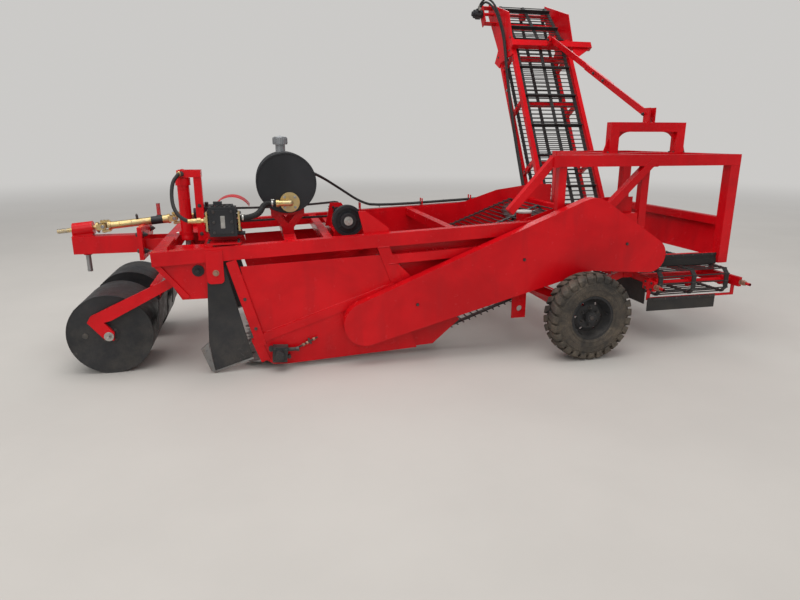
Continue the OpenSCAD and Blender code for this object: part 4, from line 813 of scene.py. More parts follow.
@dataclass
class FrontRollers:
    """End rings, flanged bearings, filler plugs and seams of the two front rollers, and what holds them."""

    centre_x: float = -3.605
    radius: float = 0.300
    gap: float = 0.330
    width: float = 0.480
    arm_face: float = 0.691
    pivot: Point = (-2.935, 0.790, 0.780)
    strap_x: float = -3.262

    def build(self) -> None:
        """Makes the trim of both rollers and of their arms."""
        for side in SIDES:
            self.drum_trim(side, side_name(side), Body.ROLLER_LEFT if side < 0 else Body.ROLLER_RIGHT)
        self.arm_trim()

    def drum_trim(self, side: int, name: str, body: Body) -> None:
        """Makes what turns with one roller."""
        inner, outer = side * self.gap / 2, side * (self.gap / 2 + self.width)
        paint, metal = Forge(), Forge()
        for face, away in ((outer, Y * side), (inner, -Y * side)):
            centre = at(self.centre_x, face, self.radius)
            sign = 1 if away.y > 0 else -1
            paint.hoop(centre, Y, [(self.radius - 0.010, -sign * 0.001), (self.radius - 0.010, sign * 0.0012),
                                   (self.radius - 0.004, sign * 0.0022), (self.radius - 0.0008, sign * 0.0002),
                                   (self.radius - 0.001, -sign * 0.001)], 96)
            paint.lathe(centre, away, [(0.066, -0.001), (0.066, 0.004), (0.062, 0.006), (0.036, 0.007), (0.034, 0.010),
                                       (0.020, 0.010)], 36)
            for k, arm in enumerate(spokes(4, 45)):
                metal.bolt(centre + arm * 0.052 + away * 0.005, away, 0.015, 1.3, k * 0.4)
            metal.lathe(centre + at(-0.170, 0, 0), away, [(0.022, -0.002), (0.022, 0.003), (0.018, 0.005)], 8, 0.2)
        # Rolled seam of the drum's skin
        seam_x = self.centre_x - (self.radius + 0.0004) * math.cos(0.7)
        seam_z = self.radius + (self.radius + 0.0004) * math.sin(0.7)
        paint.weld(at(seam_x, inner + side * 0.004, seam_z), at(seam_x, outer - side * 0.004, seam_z), 0.0022)
        paint.piece(f"roller_ends_{name}", ROLLER_PAINT, body, Slot.BLACK)
        metal.piece(f"roller_fasteners_{name}", DARK_FASTENER, body)

    def arm_trim(self) -> None:
        """Makes nuts, beads and the scraper that move with the carriage."""
        nuts, beads, dark = Forge(), Forge(), Forge()
        for side in SIDES:
            out = Y * side
            end = at(self.centre_x, side * self.arm_face, self.radius)
            nuts.lathe(end, out, [(0.034, -0.0006), (0.034, 0.004), (0.032, 0.005), (0.017, 0.005)], 28)
            nuts.bolt(end + out * 0.008, out, 0.030, 1.25, 0.2, 0.006)
            pivot = at(self.pivot[0], side * self.pivot[1], self.pivot[2])
            dark.lathe(pivot, out, [(0.042, -0.001), (0.042, 0.004), (0.039, 0.005)], 32)
            dark.bolt(pivot + out * 0.005, out, 0.032, 1.3, 0.5)
            # Beads where the arm meets the torque tube and the cross tube
            for z in (0.662, 0.602):
                beads.weld(at(-3.290, side * 0.667, z), at(-3.230, side * 0.667, z))
            for y in (0.180, 0.220):
                beads.weld(at(-3.226, side * y, 0.660), at(-3.200, side * y, 0.694))
            # Scraper plate behind each roller, bolted to a strap from the cross tube
            beads.slab(at(self.strap_x, side * 0.420, 0.565), at(0.012, 0.070, 0.110), None, 0.002)
            dark.slab(at(self.strap_x, side * 0.405, 0.420), at(0.008, 0.440, 0.230),
                      Matrix.Rotation(math.radians(6), 4, "Y"), 0.002)
            for y in (0.395, 0.445):
                nuts.bolt(at(self.strap_x - 0.006, side * y, 0.545), -X, 0.018, 1.6, 0.1)
        # Pin of the rod's eye
        pin_end = [(0.018, -0.001), (0.018, 0.004), (0.014, 0.006)]
        for s in SIDES:
            nuts.lathe(at(-3.060, -0.130 + s * 0.038, 0.790), Y * s, pin_end, 20)
        nuts.piece("carriage_nuts", BRIGHT_ZINC, Body.CARRIAGE)
        beads.piece("carriage_beads", FRAME_PAINT, Body.CARRIAGE, Slot.RED)
        dark.piece("roller_scrapers", ROLLER_PAINT, Body.CARRIAGE, Slot.BLACK)


@dataclass
class LiftCylinder:
    """Gland, wiper, fittings and pins of the lift cylinder."""

    x: float = -3.060
    y: float = -0.130
    top: float = 1.430
    low: float = 0.905

    def build(self) -> None:
        """Makes the trim on the barrel, the rod and the post."""
        barrel, gold = Forge(), Forge()
        foot = at(self.x, self.y, self.low)
        barrel.hoop(foot, Z, [(0.0475, 0.0), (0.0475, 0.030), (0.0455, 0.034), (0.0455, 0.0)], 36)
        for height in (0.060, 0.150, 0.330, 0.400):
            barrel.band(foot + Z * height, Z, 0.0458, 0.0014, 0.003, 36)
        barrel.slab(foot + at(-0.052, 0, 0.055), at(0.018, 0.030, 0.034), None, 0.002)
        barrel.piece("cylinder_bands", FRAME_PAINT, Body.LIFT_BARREL, Slot.RED)
        gold.lathe(foot + at(-0.060, 0, 0.055), -X, [(0.011, 0), (0.011, 0.012), (0.008, 0.013), (0.008, 0.022)], 6)
        gold.hoop(foot - Z * 0.002, Z, [(0.036, 0.0), (0.036, 0.003), (0.0215, 0.003), (0.0215, 0.0)], 36)
        gold.piece("cylinder_gland", BRIGHT_ZINC, Body.LIFT_BARREL)
        post = Forge()
        for s in SIDES:
            post.bolt(at(self.x, self.y + s * 0.060, self.top), Y * s, 0.034, 1.2, 0.2)
        for height in (0.955, 1.180):
            post.bolt(at(-2.945, self.y - 0.048, height), -Y, 0.020, 1.5, 0.4)
        post.piece("post_bolts", DARK_FASTENER, Body.FRAME)


@dataclass
class Hitch:
    """Flange bolts, tow pin collar, grease points and beads of the drawbar."""

    flange_front: float = -3.4182
    flange_back: float = -3.386
    gusset_y: float = 0.1365
    pin_x: float = -3.850

    def build(self) -> None:
        """Makes the hitch trim."""
        bolts, beads, steel = Forge(), Forge(), Forge()
        for y, z in product((-0.180, 0.180), (0.835, 0.965)):
            front = at(self.flange_front, y, z)
            bolts.bolt(front, -X, 0.034, 1.55, 0.2)
            bolts.bolt(at(self.flange_back, y, z), X, 0.034, 1.55, 0.7, 0.012)
            bolts.lathe(front, X, [(0.0165, 0.001), (0.0165, 0.031)], 16)
        # Beads round the drawbar's root and the bearing tube's foot
        beads.weld_round(at(self.flange_front, 0, 0.875), Y, Z, 0.061, 0.071, 0.006)
        beads.weld_round(at(-3.865, 0, 0.9455), X, Y, 0.075, 0.035, 0.005)
        beads.lathe(at(self.pin_x, 0, 0.805), -Z, [(0.034, -0.001), (0.034, 0.010), (0.030, 0.014)], 32)
        for side, x in product(SIDES, (-3.242, -3.384)):
            beads.weld(*(at(x, side * self.gusset_y, z) for z in (0.834, 0.918)))
        for height in (0.030, 0.120):
            steel.band(at(self.pin_x, 0, 0.655 + height), Z, 0.0188, 0.0012, 0.002, 28)
        steel.tube([at(-3.850 + 0.0205 * math.cos(a), 0.0205 * math.sin(a), 0.668) for a in
                    [math.radians(20 * k) for k in range(16)]], 0.0022, 6)
        steel.thread(at(-3.330, 0.310, 1.040), at(-3.330, 0.310, 1.159), 0.0168, 0.005)
        bolts.bolt(at(-3.330, 0.310, 1.028), Z, 0.046, 1.3, 0.1)
        bolts.piece("flange_bolts", DARK_FASTENER, Body.FRAME)
        beads.piece("hitch_beads", FRAME_PAINT, Body.FRAME, Slot.RED)
        steel.piece("tow_pin_clip", BARE_STEEL, Body.FRAME, Slot.BARE)


@dataclass
class InputShaft:
    """Splines, bearing caps, rings and clamp bolts that turn with the input shaft."""

    joints: tuple[float, float] = (0.345, 0.894)
    cap_reach: float = 0.048
    splines: int = 12
    spline_circle: float = 0.0172

    def build(self) -> None:
        """Makes the trim of the input line."""
        steel, gold, dark = Forge(INPUT_AT), Forge(INPUT_AT), Forge(INPUT_AT)
        for k, arm in enumerate(spokes(self.splines, 0, "Z")):
            steel.slab(arm * self.spline_circle + Z * 0.038, at(0.0030, 0.0046, 0.072),
                       Matrix.Rotation(2 * math.pi * k / self.splines, 4, "Z"), 0.0006)
        steel.hoop(at(0, 0, 0.080), Z, [(0.0176, 0.0), (0.0188, 0.002), (0.0176, 0.004)], 24)
        for s in self.joints:
            for arm in spokes(4, 0, "Z"):
                seat = at(0, 0, s) + arm * (self.cap_reach - 0.003)
                steel.lathe(seat, arm, [(0.0150, 0.0), (0.0150, 0.004), (0.0128, 0.006), (0.0, 0.0065)], 20)
                gold.hoop(seat + arm * 0.003, arm, [(0.0172, -0.002), (0.0172, 0.0015), (0.0152, 0.0015),
                                                    (0.0152, -0.002)], 20)
        for s, r in ((0.299, 0.0378), (0.391, 0.0378), (0.470, 0.0298), (0.560, 0.0298), (0.700, 0.0298),
                     (0.848, 0.0378)):
            gold.hoop(at(0, 0, s), Z, [(r, -0.003), (r + 0.0016, -0.001), (r + 0.0016, 0.001), (r, 0.003)], 32)
        dark.bolt(at(0, 0.046, 0.607), Y, 0.018, 1.3, 0.1)
        dark.lathe(at(-0.030, -0.010, 0.607), -X, [(0.010, 0.0), (0.010, 0.030), (0.007, 0.034), (0.004, 0.040)], 14)
        dark.bolt(at(0.038, 0, 0.300), X, 0.016, 0.0, 0.2)
        gold.piece("shaft_rings", GOLD_PLATE, Body.INPUT, Slot.GOLD)
        steel.piece("joint_caps_and_splines", BARE_STEEL, Body.INPUT, Slot.BARE)
        dark.piece("shaft_clamp_bolts", DARK_FASTENER, Body.INPUT)


@dataclass
class PumpAndDrive:
    """Cover bolts, blank plate, ferrules and the drive chain with its two sprockets."""

    pump: Point = PUMP
    drive: Point = (-2.830, 0.202, 1.055)
    driven: Point = (-1.820, 0.202, 1.085)
    pitch: float = 0.0254
    sprocket: float = 0.062
    teeth: int = 15
    slack: float = 0.016

    def build(self) -> None:
        """Makes the pump's trim, the gearbox's bolts and the chain drive."""
        bolts, plate, gold = Forge(), Forge(), Forge()
        x, y, z = self.pump
        for dx, dz in product((-0.062, 0.062), (-0.074, 0.0, 0.074)):
            bolts.bolt(at(x + dx, y - 0.118, z + dz), -Y, 0.016, 1.3, dz * 9)
        for dx in (-0.045, 0.045):
            bolts.bolt(at(x + dx, -0.626, z - 0.045), Y, 0.016, 1.3, dx * 9)
        for s, dy, dz in product(SIDES, (-0.086, -0.024), (-0.058, 0.058)):
            bolts.bolt(at(x + s * 0.1185, y + dy, z + dz), X * s, 0.013, 1.25, dz * 7)
        plate.slab(at(x, y - 0.1186, z), at(0.030, 0.0016, 0.088), None, 0.0004)
        for dz in (-0.038, 0.038):
            plate.lathe(at(x, y - 0.1194, z + dz), -Y, [(0.0030, 0), (0.0026, 0.001), (0.0, 0.0016)], 10)
        # Gearbox cover bolts, breather and drain plug
        for side, gx, gz in product(SIDES, (-2.940, -2.720), (0.975, 1.140)):
            bolts.bolt(at(gx, side * 0.120, gz), Y * side, 0.017, 1.3, gx)
        breather = [(0.014, -0.001), (0.014, 0.012), (0.010, 0.016), (0.016, 0.018), (0.016, 0.034), (0.010, 0.038)]
        bolts.lathe(at(-2.900, -0.060, 1.160), Z, breather, 20)
        for px, py in product((-2.850, -2.640), (-0.760, -0.660)):
            bolts.bolt(at(px, py, beam_z(-2.85) + 0.0772), Z, 0.018, 1.5, px)
        bolts.piece("pump_and_gearbox_bolts", DARK_FASTENER, Body.FRAME)
        plate.piece("blank_plate", BRIGHT_ZINC, Body.FRAME)
        self.unions(gold)
        gold.piece("pump_unions", GOLD_PLATE, Body.FRAME, Slot.GOLD)
        self.chain()

    def unions(self, gold: Forge) -> None:
        """Adds the hexagons and collars at the pump's and the cylinder's hose ends."""
        x, y, z = self.pump
        gold.lathe(at(x - 0.1175, y - 0.055, z + 0.005), -X, [(0.026, 0), (0.026, 0.014), (0.022, 0.017)], 6, 0.4)
        collar = [(0.019, 0), (0.0195, 0.034), (0.0165, 0.040), (0.0165, 0.060), (0.0148, 0.062)]
        gold.lathe(at(x - 0.182, y - 0.055, z + 0.005), -X, collar, 24)
        gold.lathe(at(-3.075, -0.190, 1.430), -Y, [(0.0175, 0.0), (0.0175, 0.034), (0.0150, 0.044)], 24)
        gold.lathe(at(-3.075, -0.172, 1.430), -Y, [(0.023, 0.0), (0.023, 0.016), (0.019, 0.019)], 6)

    def chain(self) -> None:
        """Makes the roller chain between the gearbox's side shaft and the pulley shaft, and its sprockets."""
        a, b = Vector(self.drive), Vector(self.driven)
        radius, teeth = self.sprocket, self.teeth
        for name, centre, body in (("drive_sprocket", a, Body.FRAME), ("driven_sprocket", b, Body.PULLEY)):
            forge = Forge()
            outline = []
            for k in range(teeth * 4):
                r = radius + (-0.009, -0.003, 0.0045, -0.003)[k % 4]
                angle = 2 * math.pi * k / (teeth * 4)
                outline.append((r * math.cos(angle), r * math.sin(angle)))
            forge.prism(outline, centre + Y * 0.004, X, Z, 0.008)
            forge.hoop(centre, Y, [(0.036, -0.016), (0.036, 0.016), (0.0180, 0.016), (0.0180, -0.016)], 28)
            if body is Body.PULLEY:
                forge.lathe(at(b.x, 0.0895, b.z), Y, [(0.0175, 0.0), (0.0175, 0.134), (0.0150, 0.137)], 28)
            forge.piece(name, CAST_BLACK, body, Slot.CAST)
        along = (b - a).normalized()
        up = at(-along.z, 0, along.x)
        span = (b - a).length
        path: list[tuple[Vector, Vector]] = []
        straight = int(span / self.pitch)
        for k in range(straight):
            sag = self.slack * math.sin(math.pi * k / straight)
            path.append((a + along * span * k / straight - up * (sag - radius), along))
        turn = int(math.pi * radius / self.pitch) + 1
        for k in range(turn):
            c, s = math.cos(math.pi * k / turn), math.sin(math.pi * k / turn)
            path.append((b + up * radius * c + along * radius * s, along * c - up * s))
        for k in range(straight):
            path.append((b - along * span * k / straight - up * radius, -along))
        for k in range(turn):
            c, s = math.cos(math.pi * k / turn), math.sin(math.pi * k / turn)
            path.append((a - up * radius * c - along * radius * s, up * s - along * c))
        forge = Forge()
        count = len(path)
        for k, (point, direction) in enumerate(path):
            forge.lathe(point - Y * 0.0125, Y, [(0.0068, 0), (0.0068, 0.025)], 10)
            after = path[(k + 1) % count][0]
            middle, run = (point + after) / 2, after - point
            turn_y = Matrix.Rotation(-math.atan2(run.z, run.x), 4, "Y")
            offset = 0.0085 if k % 2 else 0.0115
            for s in SIDES:
                forge.slab(middle + Y * s * offset, at(run.length + 0.016, 0.0024, 0.017), turn_y, 0.0008)
        forge.piece("drive_chain", DARK_FASTENER, Body.FRAME)


@dataclass
class TankTrim:
    """Flange bolts, end rings, cap ribs, hose clamps and the ribs of the suction hose."""

    centre: Point = (-2.265, -0.450, 1.365)
    radius: float = 0.230
    length: float = 0.560
    cap_ribs: int = 24

    def build(self) -> None:
        """Makes the tank's trim."""
        bolts, black, cap, rubber = Forge(), Forge(), Forge(), Forge()
        x, y, z = self.centre
        port = at(x + 0.018, y - 0.018, z - 0.145)
        for k, arm in enumerate(spokes(4, 45)):
            bolts.bolt(port + arm * 0.056, -Y, 0.017, 1.35, 45 + 90 * k)
        for end, away in ((y, -1), (y + self.length, 1)):
            centre = at(x, end, z)
            black.hoop(centre, Y, [(self.radius - 0.014, -away * 0.001), (self.radius - 0.012, away * 0.0035),
                                   (self.radius - 0.003, away * 0.0035), (self.radius - 0.0005, -away * 0.001)], 72)
        for s in (0.18, 0.38):
            black.band(at(x, y + s, z), Y, self.radius - 0.0002, 0.0024, 0.003, 72)
        black.piece("tank_seams", ROLLER_PAINT, Body.FRAME, Slot.BLACK)
        top = at(x - 0.025, y + 0.250, z + self.radius - 0.003)
        for k, arm in enumerate(spokes(self.cap_ribs, 0, "Z")):
            cap.slab(top + arm * 0.0565 + Z * 0.087, at(0.005, 0.006, 0.044),
                     Matrix.Rotation(2 * math.pi * k / self.cap_ribs, 4, "Z"), 0.001)
        crown = [(0.050, -0.001), (0.046, 0.004), (0.016, 0.006), (0.012, 0.010), (0.0, 0.011)]
        cap.lathe(top + Z * 0.115, Z, crown, 36)
        cap.piece("tank_cap_ribs", CAP_GREY, Body.FRAME, Slot.CAP)
        self.suction(bolts, rubber)
        bolts.piece("tank_bolts_and_clamps", BRIGHT_ZINC, Body.FRAME)
        rubber.piece("suction_hose_ribs", HOSE_RUBBER, Body.FRAME, Slot.HOSE)

    def suction(self, bolts: Forge, rubber: Forge) -> None:
        """Adds wire ribs along the suction hose, and a worm clamp near each of its ends."""
        pump, tank = at(*PUMP), at(*self.centre)
        route = [pump + at(0.1188, -0.055, 0.020), pump + at(0.180, -0.055, 0.020), pump + at(0.260, -0.040, 0.045),
                 tank + at(-0.180, -0.080, -0.145), tank + at(-0.0903, -0.080, -0.145)]
        path = smoothed(smoothed(smoothed(route)))
        for point, along in spaced(path, 0.0105):
            rubber.band(point, along, 0.0205, 0.0021, 0.0026, 18)
        stops = spaced(path, 0.004)
        for share in (0.05, 0.93):
            point, along = stops[int(len(stops) * share)]
            bolts.hoop(point, along, [(0.0236, -0.006), (0.0246, -0.006), (0.0246, 0.006), (0.0236, 0.006)], 28)
            bolts.slab(point + Z * 0.0275, at(0.018, 0.012, 0.009), None, 0.0015)
            bolts.lathe(point + at(0.009, 0, 0.0275), X, [(0.0045, 0), (0.0045, 0.007)], 6)


def smoothed(points: Sequence[Vector]) -> list[Vector]:
    """Cuts the corners of a route once, as the CAD source does for its hoses."""
    made = [points[0]]
    for a, b in zip(points, points[1:]):
        made += [a * 0.75 + b * 0.25, a * 0.25 + b * 0.75]
    return [*made, points[-1]]


def spaced(path: Sequence[Vector], step: float) -> list[tuple[Vector, Vector]]:
    """Walks a path at even steps.

    Args:
        path: Its points.
        step: Distance between two stops.

    Returns:
        Point and direction at each stop.
    """
    stops, left = [], step
    for a, b in zip(path, path[1:]):
        length = (b - a).length
        if length < 1e-9:
            continue
        along = (b - a) / length
        while left <= length:
            stops.append((a + along * left, along))
            left += step
        left -= length
    return stops


@dataclass
class PulleyTrim:
    """Hub face, spokes of the web, lock nut and the far bearing of the belt pulley."""

    x: float = -1.820
    z: float = 1.085
    face: float = -0.650
    webs: int = 5
    web_y: float = -0.6185

    def build(self) -> None:
        """Makes the pulley's trim."""
        dark, steel, bolts = Forge(), Forge(), Forge()
        centre = at(self.x, self.face, self.z)
        dark.hoop(centre, Y, [(0.060, -0.002), (0.060, 0.001), (0.052, 0.001), (0.050, -0.002)], 40)
        for k, arm in enumerate(spokes(self.webs)):
            dark.slab(at(self.x, self.web_y, self.z) + arm * 0.080, at(0.040, 0.010, 0.012),
                      Matrix.Rotation(-2 * math.pi * k / self.webs, 4, "Y"), 0.002)
        steel.lathe(centre, -Y, [(0.034, -0.001), (0.034, 0.004), (0.0, 0.0042)], 32)
        steel.bolt(centre - Y * 0.004, -Y, 0.030, 1.3, 0.2)
        dark.piece("pulley_webs", CAST_BLACK, Body.PULLEY, Slot.CAST)
        steel.piece("pulley_lock_nut", BRIGHT_ZINC, Body.PULLEY)
        for y, away in ((-0.533, 1), (0.053, -1), (0.067, 1)):
            seat = at(self.x, y, self.z)
            for k, arm in enumerate(spokes(4, 45)):
                bolts.bolt(seat + arm * 0.045, Y * away, 0.015, 1.4, math.radians(45 + 90 * k))
            bolts.hoop(seat, Y, [(0.034, -away * 0.001), (0.034, away * 0.010), (0.0182, away * 0.010),
                                 (0.0182, -away * 0.001)], 32)
        bolts.piece("pulley_bearings", CAST_BLACK, Body.FRAME, Slot.CAST)


@dataclass
class FrameBeads:
    """Weld beads, tube end caps, hanger bolts and hose straps along the main frame."""

    beam_y: float = 0.780
    beam_half: float = 0.050
    beam_inner: float = 0.7395
    beam_outer: float = 0.8202
    gusset_y: float = -0.744

    def build(self) -> None:
        """Makes the frame's beads and straps."""
        beads, bolts, pale = Forge(), Forge(), Forge()
        slope = math.radians(2.7)
        along = at(math.cos(slope), 0, math.sin(slope))
        for side in SIDES:
            out = side * self.beam_outer
            # Legs under the beam, on its outer and inner faces
            for x0, x1 in ((-1.629, -1.533), (0.489, 0.560)):
                z0, z1 = beam_z(x0) - self.beam_half, beam_z(x1) - self.beam_half
                beads.weld(at(x0, out, z0), at(x1, out, z1))
            beads.weld(at(-1.540, out, 0.770), at(-1.483, out, 0.772))
            # Cross bars between the beams
            for x in (-1.980, -1.000, 0.340):
                foot = at(x, side * self.beam_inner, beam_z(x))
                for way, across in ((X * 0.036, Z * 0.035), (Z * 0.035, X * 0.036)):
                    for s in SIDES:
                        beads.weld(foot - way + across * s, foot + way + across * s)
            # Front corner of the frame
            corner = at(-3.140, side * self.beam_inner, beam_z(-3.190))
            beads.weld(corner - Z * 0.046, corner + Z * 0.046)
            # Closed ends of the beams
            end = at(0.560, side * self.beam_y, beam_z(0.560))
            beads.slab(end + along * 0.003, at(0.006, 0.076, 0.096), Matrix.Rotation(-slope, 4, "Y"), 0.0015)
            # Coulter hanger
            bolts.bolt(at(-2.810, side * 0.832, 0.765), Y * side, 0.030, 1.5, 0.5, 0.0)
            bolts.bolt(at(-2.810, side * 0.8137, 0.765), -Y * side, 0.030, 1.5, 0.2, 0.008)
            # Pivot plates' stiffeners
            beads.weld(*(at(x, side * 0.789, beam_z(x) - 0.0515) for x in (-3.200, -2.875)))
        for x in (-1.300, -0.620, -0.100):
            middle = at(x, self.beam_y, 1.0392 + (x + 1.34) * 0.0472)
            loop = [2 * math.pi * k / 16 for k in range(17)]
            pale.tube([middle + at(0, math.copysign(0.013, math.cos(a)) + 0.0128 * math.cos(a), 0.0128 * math.sin(a))
                       for a in loop], 0.0018, 6)
        # Gusset plate by the pulley
        beads.weld(*(at(x, self.gusset_y, beam_z(x) + 0.051) for x in (-1.700, -1.506)))
        beads.piece("frame_weld_beads", FRAME_PAINT, Body.FRAME, Slot.RED)
        bolts.piece("coulter_bolts", COPPER_NUT, Body.FRAME)
        pale.piece("hose_straps", HOSE_RUBBER, Body.FRAME, Slot.HOSE)
        filler = Forge()
        lid = [(0.0625, -0.004), (0.066, 0.0), (0.066, 0.010), (0.060, 0.016), (0.030, 0.020), (0.0, 0.021)]
        filler.lathe(at(-0.330, -0.560, beam_z(-0.33) + 0.090), Z, lid, 40)
        filler.piece("filler_cap", PALE_CAP, Body.FRAME)


@dataclass
class DiggingBodyTrim:
    """Guard bolts, body bolts, share bolts, motor bolts and the tension rod of the digging body."""

    guard_face: float = -0.9383
    motor: Point = (-2.395, -0.9063, 0.140)
    motor_neck: float = 0.044
    rail_face: float = 0.813

    def build(self) -> None:
        """Makes the trim of both body sides."""
        dark, copper, beads, steel = Forge(), Forge(), Forge(), Forge()
        for x, z in ((-1.342, 0.467), (-0.479, 0.779), (0.414, 0.870)):
            dark.bolt(at(x, self.guard_face + 0.006, z), -Y, 0.022, 1.0, x)
            dark.lathe(at(x, self.guard_face + 0.012, z), -Y, [(0.0128, -0.004), (0.0128, 0.006)], 20)
        for side in SIDES:
            out = Y * side
            for x, z in ((-2.558, 0.330), (-2.622, 0.560)):
                dark.bolt(at(x, side * 0.838, z), out, 0.018, 1.4, z * 9)
            # Share and shoe bolts
            for x, z in ((-2.905, 0.100), (-2.925, 0.180)):
                steel.bolt(at(x, side * 0.8277, z), out, 0.016, 1.2, x)
            # Beads along the body's rails
            face = side * self.rail_face
            beads.weld(at(-2.490, face, 0.2915), at(-1.560, face, 0.604), 0.004)
            beads.weld(at(-2.620, face, 0.700), at(-2.514, face, 0.310), 0.004)
        # Threaded rod that tensions the web, with its coppery nuts
        a, b = at(-2.262, -0.850, 0.160), at(-2.105, -0.850, 0.236)
        dark.thread(a, b, 0.0075, 0.0035)
        for share in (0.28, 0.46, 0.78):
            copper.bolt(a.lerp(b, share), b - a, 0.024, 1.25, share * 5)
        dark.slab(a.lerp(b, 0.62) + Y * 0.010, at(0.014, 0.044, 0.044), Matrix.Rotation(-0.45, 4, "Y"), 0.002)
        # Front motor
        motor = at(*self.motor)
        for dx, dz in ((-0.042, -0.050), (0.040, -0.056), (0.050, 0.036), (-0.034, 0.044)):
            dark.bolt(motor + at(dx, 0, dz), -Y, 0.014, 1.25, dx * 30)
        for k, arm in enumerate(spokes(3, 15)):
            dark.bolt(motor - Y * self.motor_neck + arm * 0.024, -Y, 0.009, 1.2, math.radians(15 + 120 * k))
        dark.lathe(at(-2.265, -0.8683, 0.160), X, [(0.019, -0.004), (0.019, 0.014), (0.015, 0.018)], 6)
        dark.piece("body_bolts", DARK_FASTENER, Body.FRAME)
        copper.piece("tension_nuts", COPPER_NUT, Body.FRAME)
        steel.piece("share_bolts", BARE_STEEL, Body.FRAME, Slot.BARE)
        beads.piece("body_weld_beads", FRAME_PAINT, Body.FRAME, Slot.RED)


def loop_rods(loop: Profile, pitch: float) -> list[tuple[Vector, Vector]]:
    """Places of a rod web's rods, by the CAD source's own rule.

    Args:
        loop: Corners of the closed loop.
        pitch: Spacing of the rods.

    Returns:
        Point and direction of travel at each rod, in the loop's plane.
    """
    rods = []
    for i, a in enumerate(loop):
        a2, b2 = Vector(a), Vector(loop[(i + 1) % len(loop)])
        n = max(1, math.floor((b2 - a2).length / pitch + 0.5))
        for k in range(n):
            rods.append((a2 + (b2 - a2) * k / n, (b2 - a2).normalized()))
    return rods


@dataclass(frozen=True)
class RodWeb:
    """One endless rod web: its closed loop, the places of its belts, and what it belongs to."""

    name: str
    loop: Pairs
    belts: Point
    across: Vector
    body: Body = Body.FRAME
    frame: Matrix | None = None

    def lift(self, place: Sequence[float], belt: float = 0.0) -> Vector:
        """Takes a place in the loop's plane to the machine, at one belt."""
        return at(place[0], belt, place[1]) if self.across.y else at(belt, place[0], place[1])


WEBS = (
    RodWeb("main_web_clamps", ((-2.290, 0.190), (0.060, 1.092), (0.190, 0.960), (-0.420, 0.395), (-1.190, 0.115),
                               (-2.290, 0.092)), (-0.645, 0.0, 0.645), Y),
    RodWeb("cross_web_clamps", ((-0.960, 0.580), (-0.920, 0.620), (0.660, 0.620), (0.700, 0.580), (0.700, 0.460),
                                (0.660, 0.420), (-0.920, 0.420), (-0.960, 0.460)), (0.750, 1.070, 1.390), X),
    RodWeb("elevator_web_clamps", ((-0.078, 0.090), (-0.078, 2.720), (0.085, 3.290), (0.120, 3.370), (0.190, 3.385),
                                   (0.235, 3.330), (0.222, 2.700), (0.202, 0.120), (0.0, 0.060)),
           (0.697, 1.005, 1.313), X, Body.ELEVATOR, ELEVATOR_AT),
)


@dataclass
class WebRivets:
    """Clamp plates with two rivets each, where every rod crosses a belt."""

    pitch: float = 0.056
    plate: Point = (0.034, 0.013, 0.0024)
    seat: float = 0.0066
    rivet_half_gap: float = 0.010
    rivet: Pairs = ((0.0040, 0), (0.0034, 0.0016), (0.0, 0.0024))

    def clamp(self, forge: Forge, centre: Vector, across: Vector, along: Vector, outward: Vector) -> None:
        """Adds one plate and its rivets.

        Args:
            forge: Where they go.
            centre: Middle of the rod at the belt.
            across: Direction along the rod.
            along: Direction of travel.
            outward: Direction out of the loop.
        """
        seat = centre + outward * self.seat
        forge.slab(seat, at(*self.plate), Matrix((across, along, outward)).transposed(), 0.0006)
        for s in SIDES:
            forge.lathe(seat + across * s * self.rivet_half_gap + outward * 0.0010, outward, self.rivet, 7)

    def build(self) -> None:
        """Makes the clamps of all webs."""
        for web in WEBS:
            forge = Forge(web.frame)
            for point, run in loop_rods(web.loop, self.pitch):
                along, outward = web.lift(run), web.lift((-run.y, run.x))
                for belt in web.belts:
                    self.clamp(forge, web.lift(point, belt), web.across, along, outward)
            forge.piece(web.name, DARK_FASTENER, web.body)


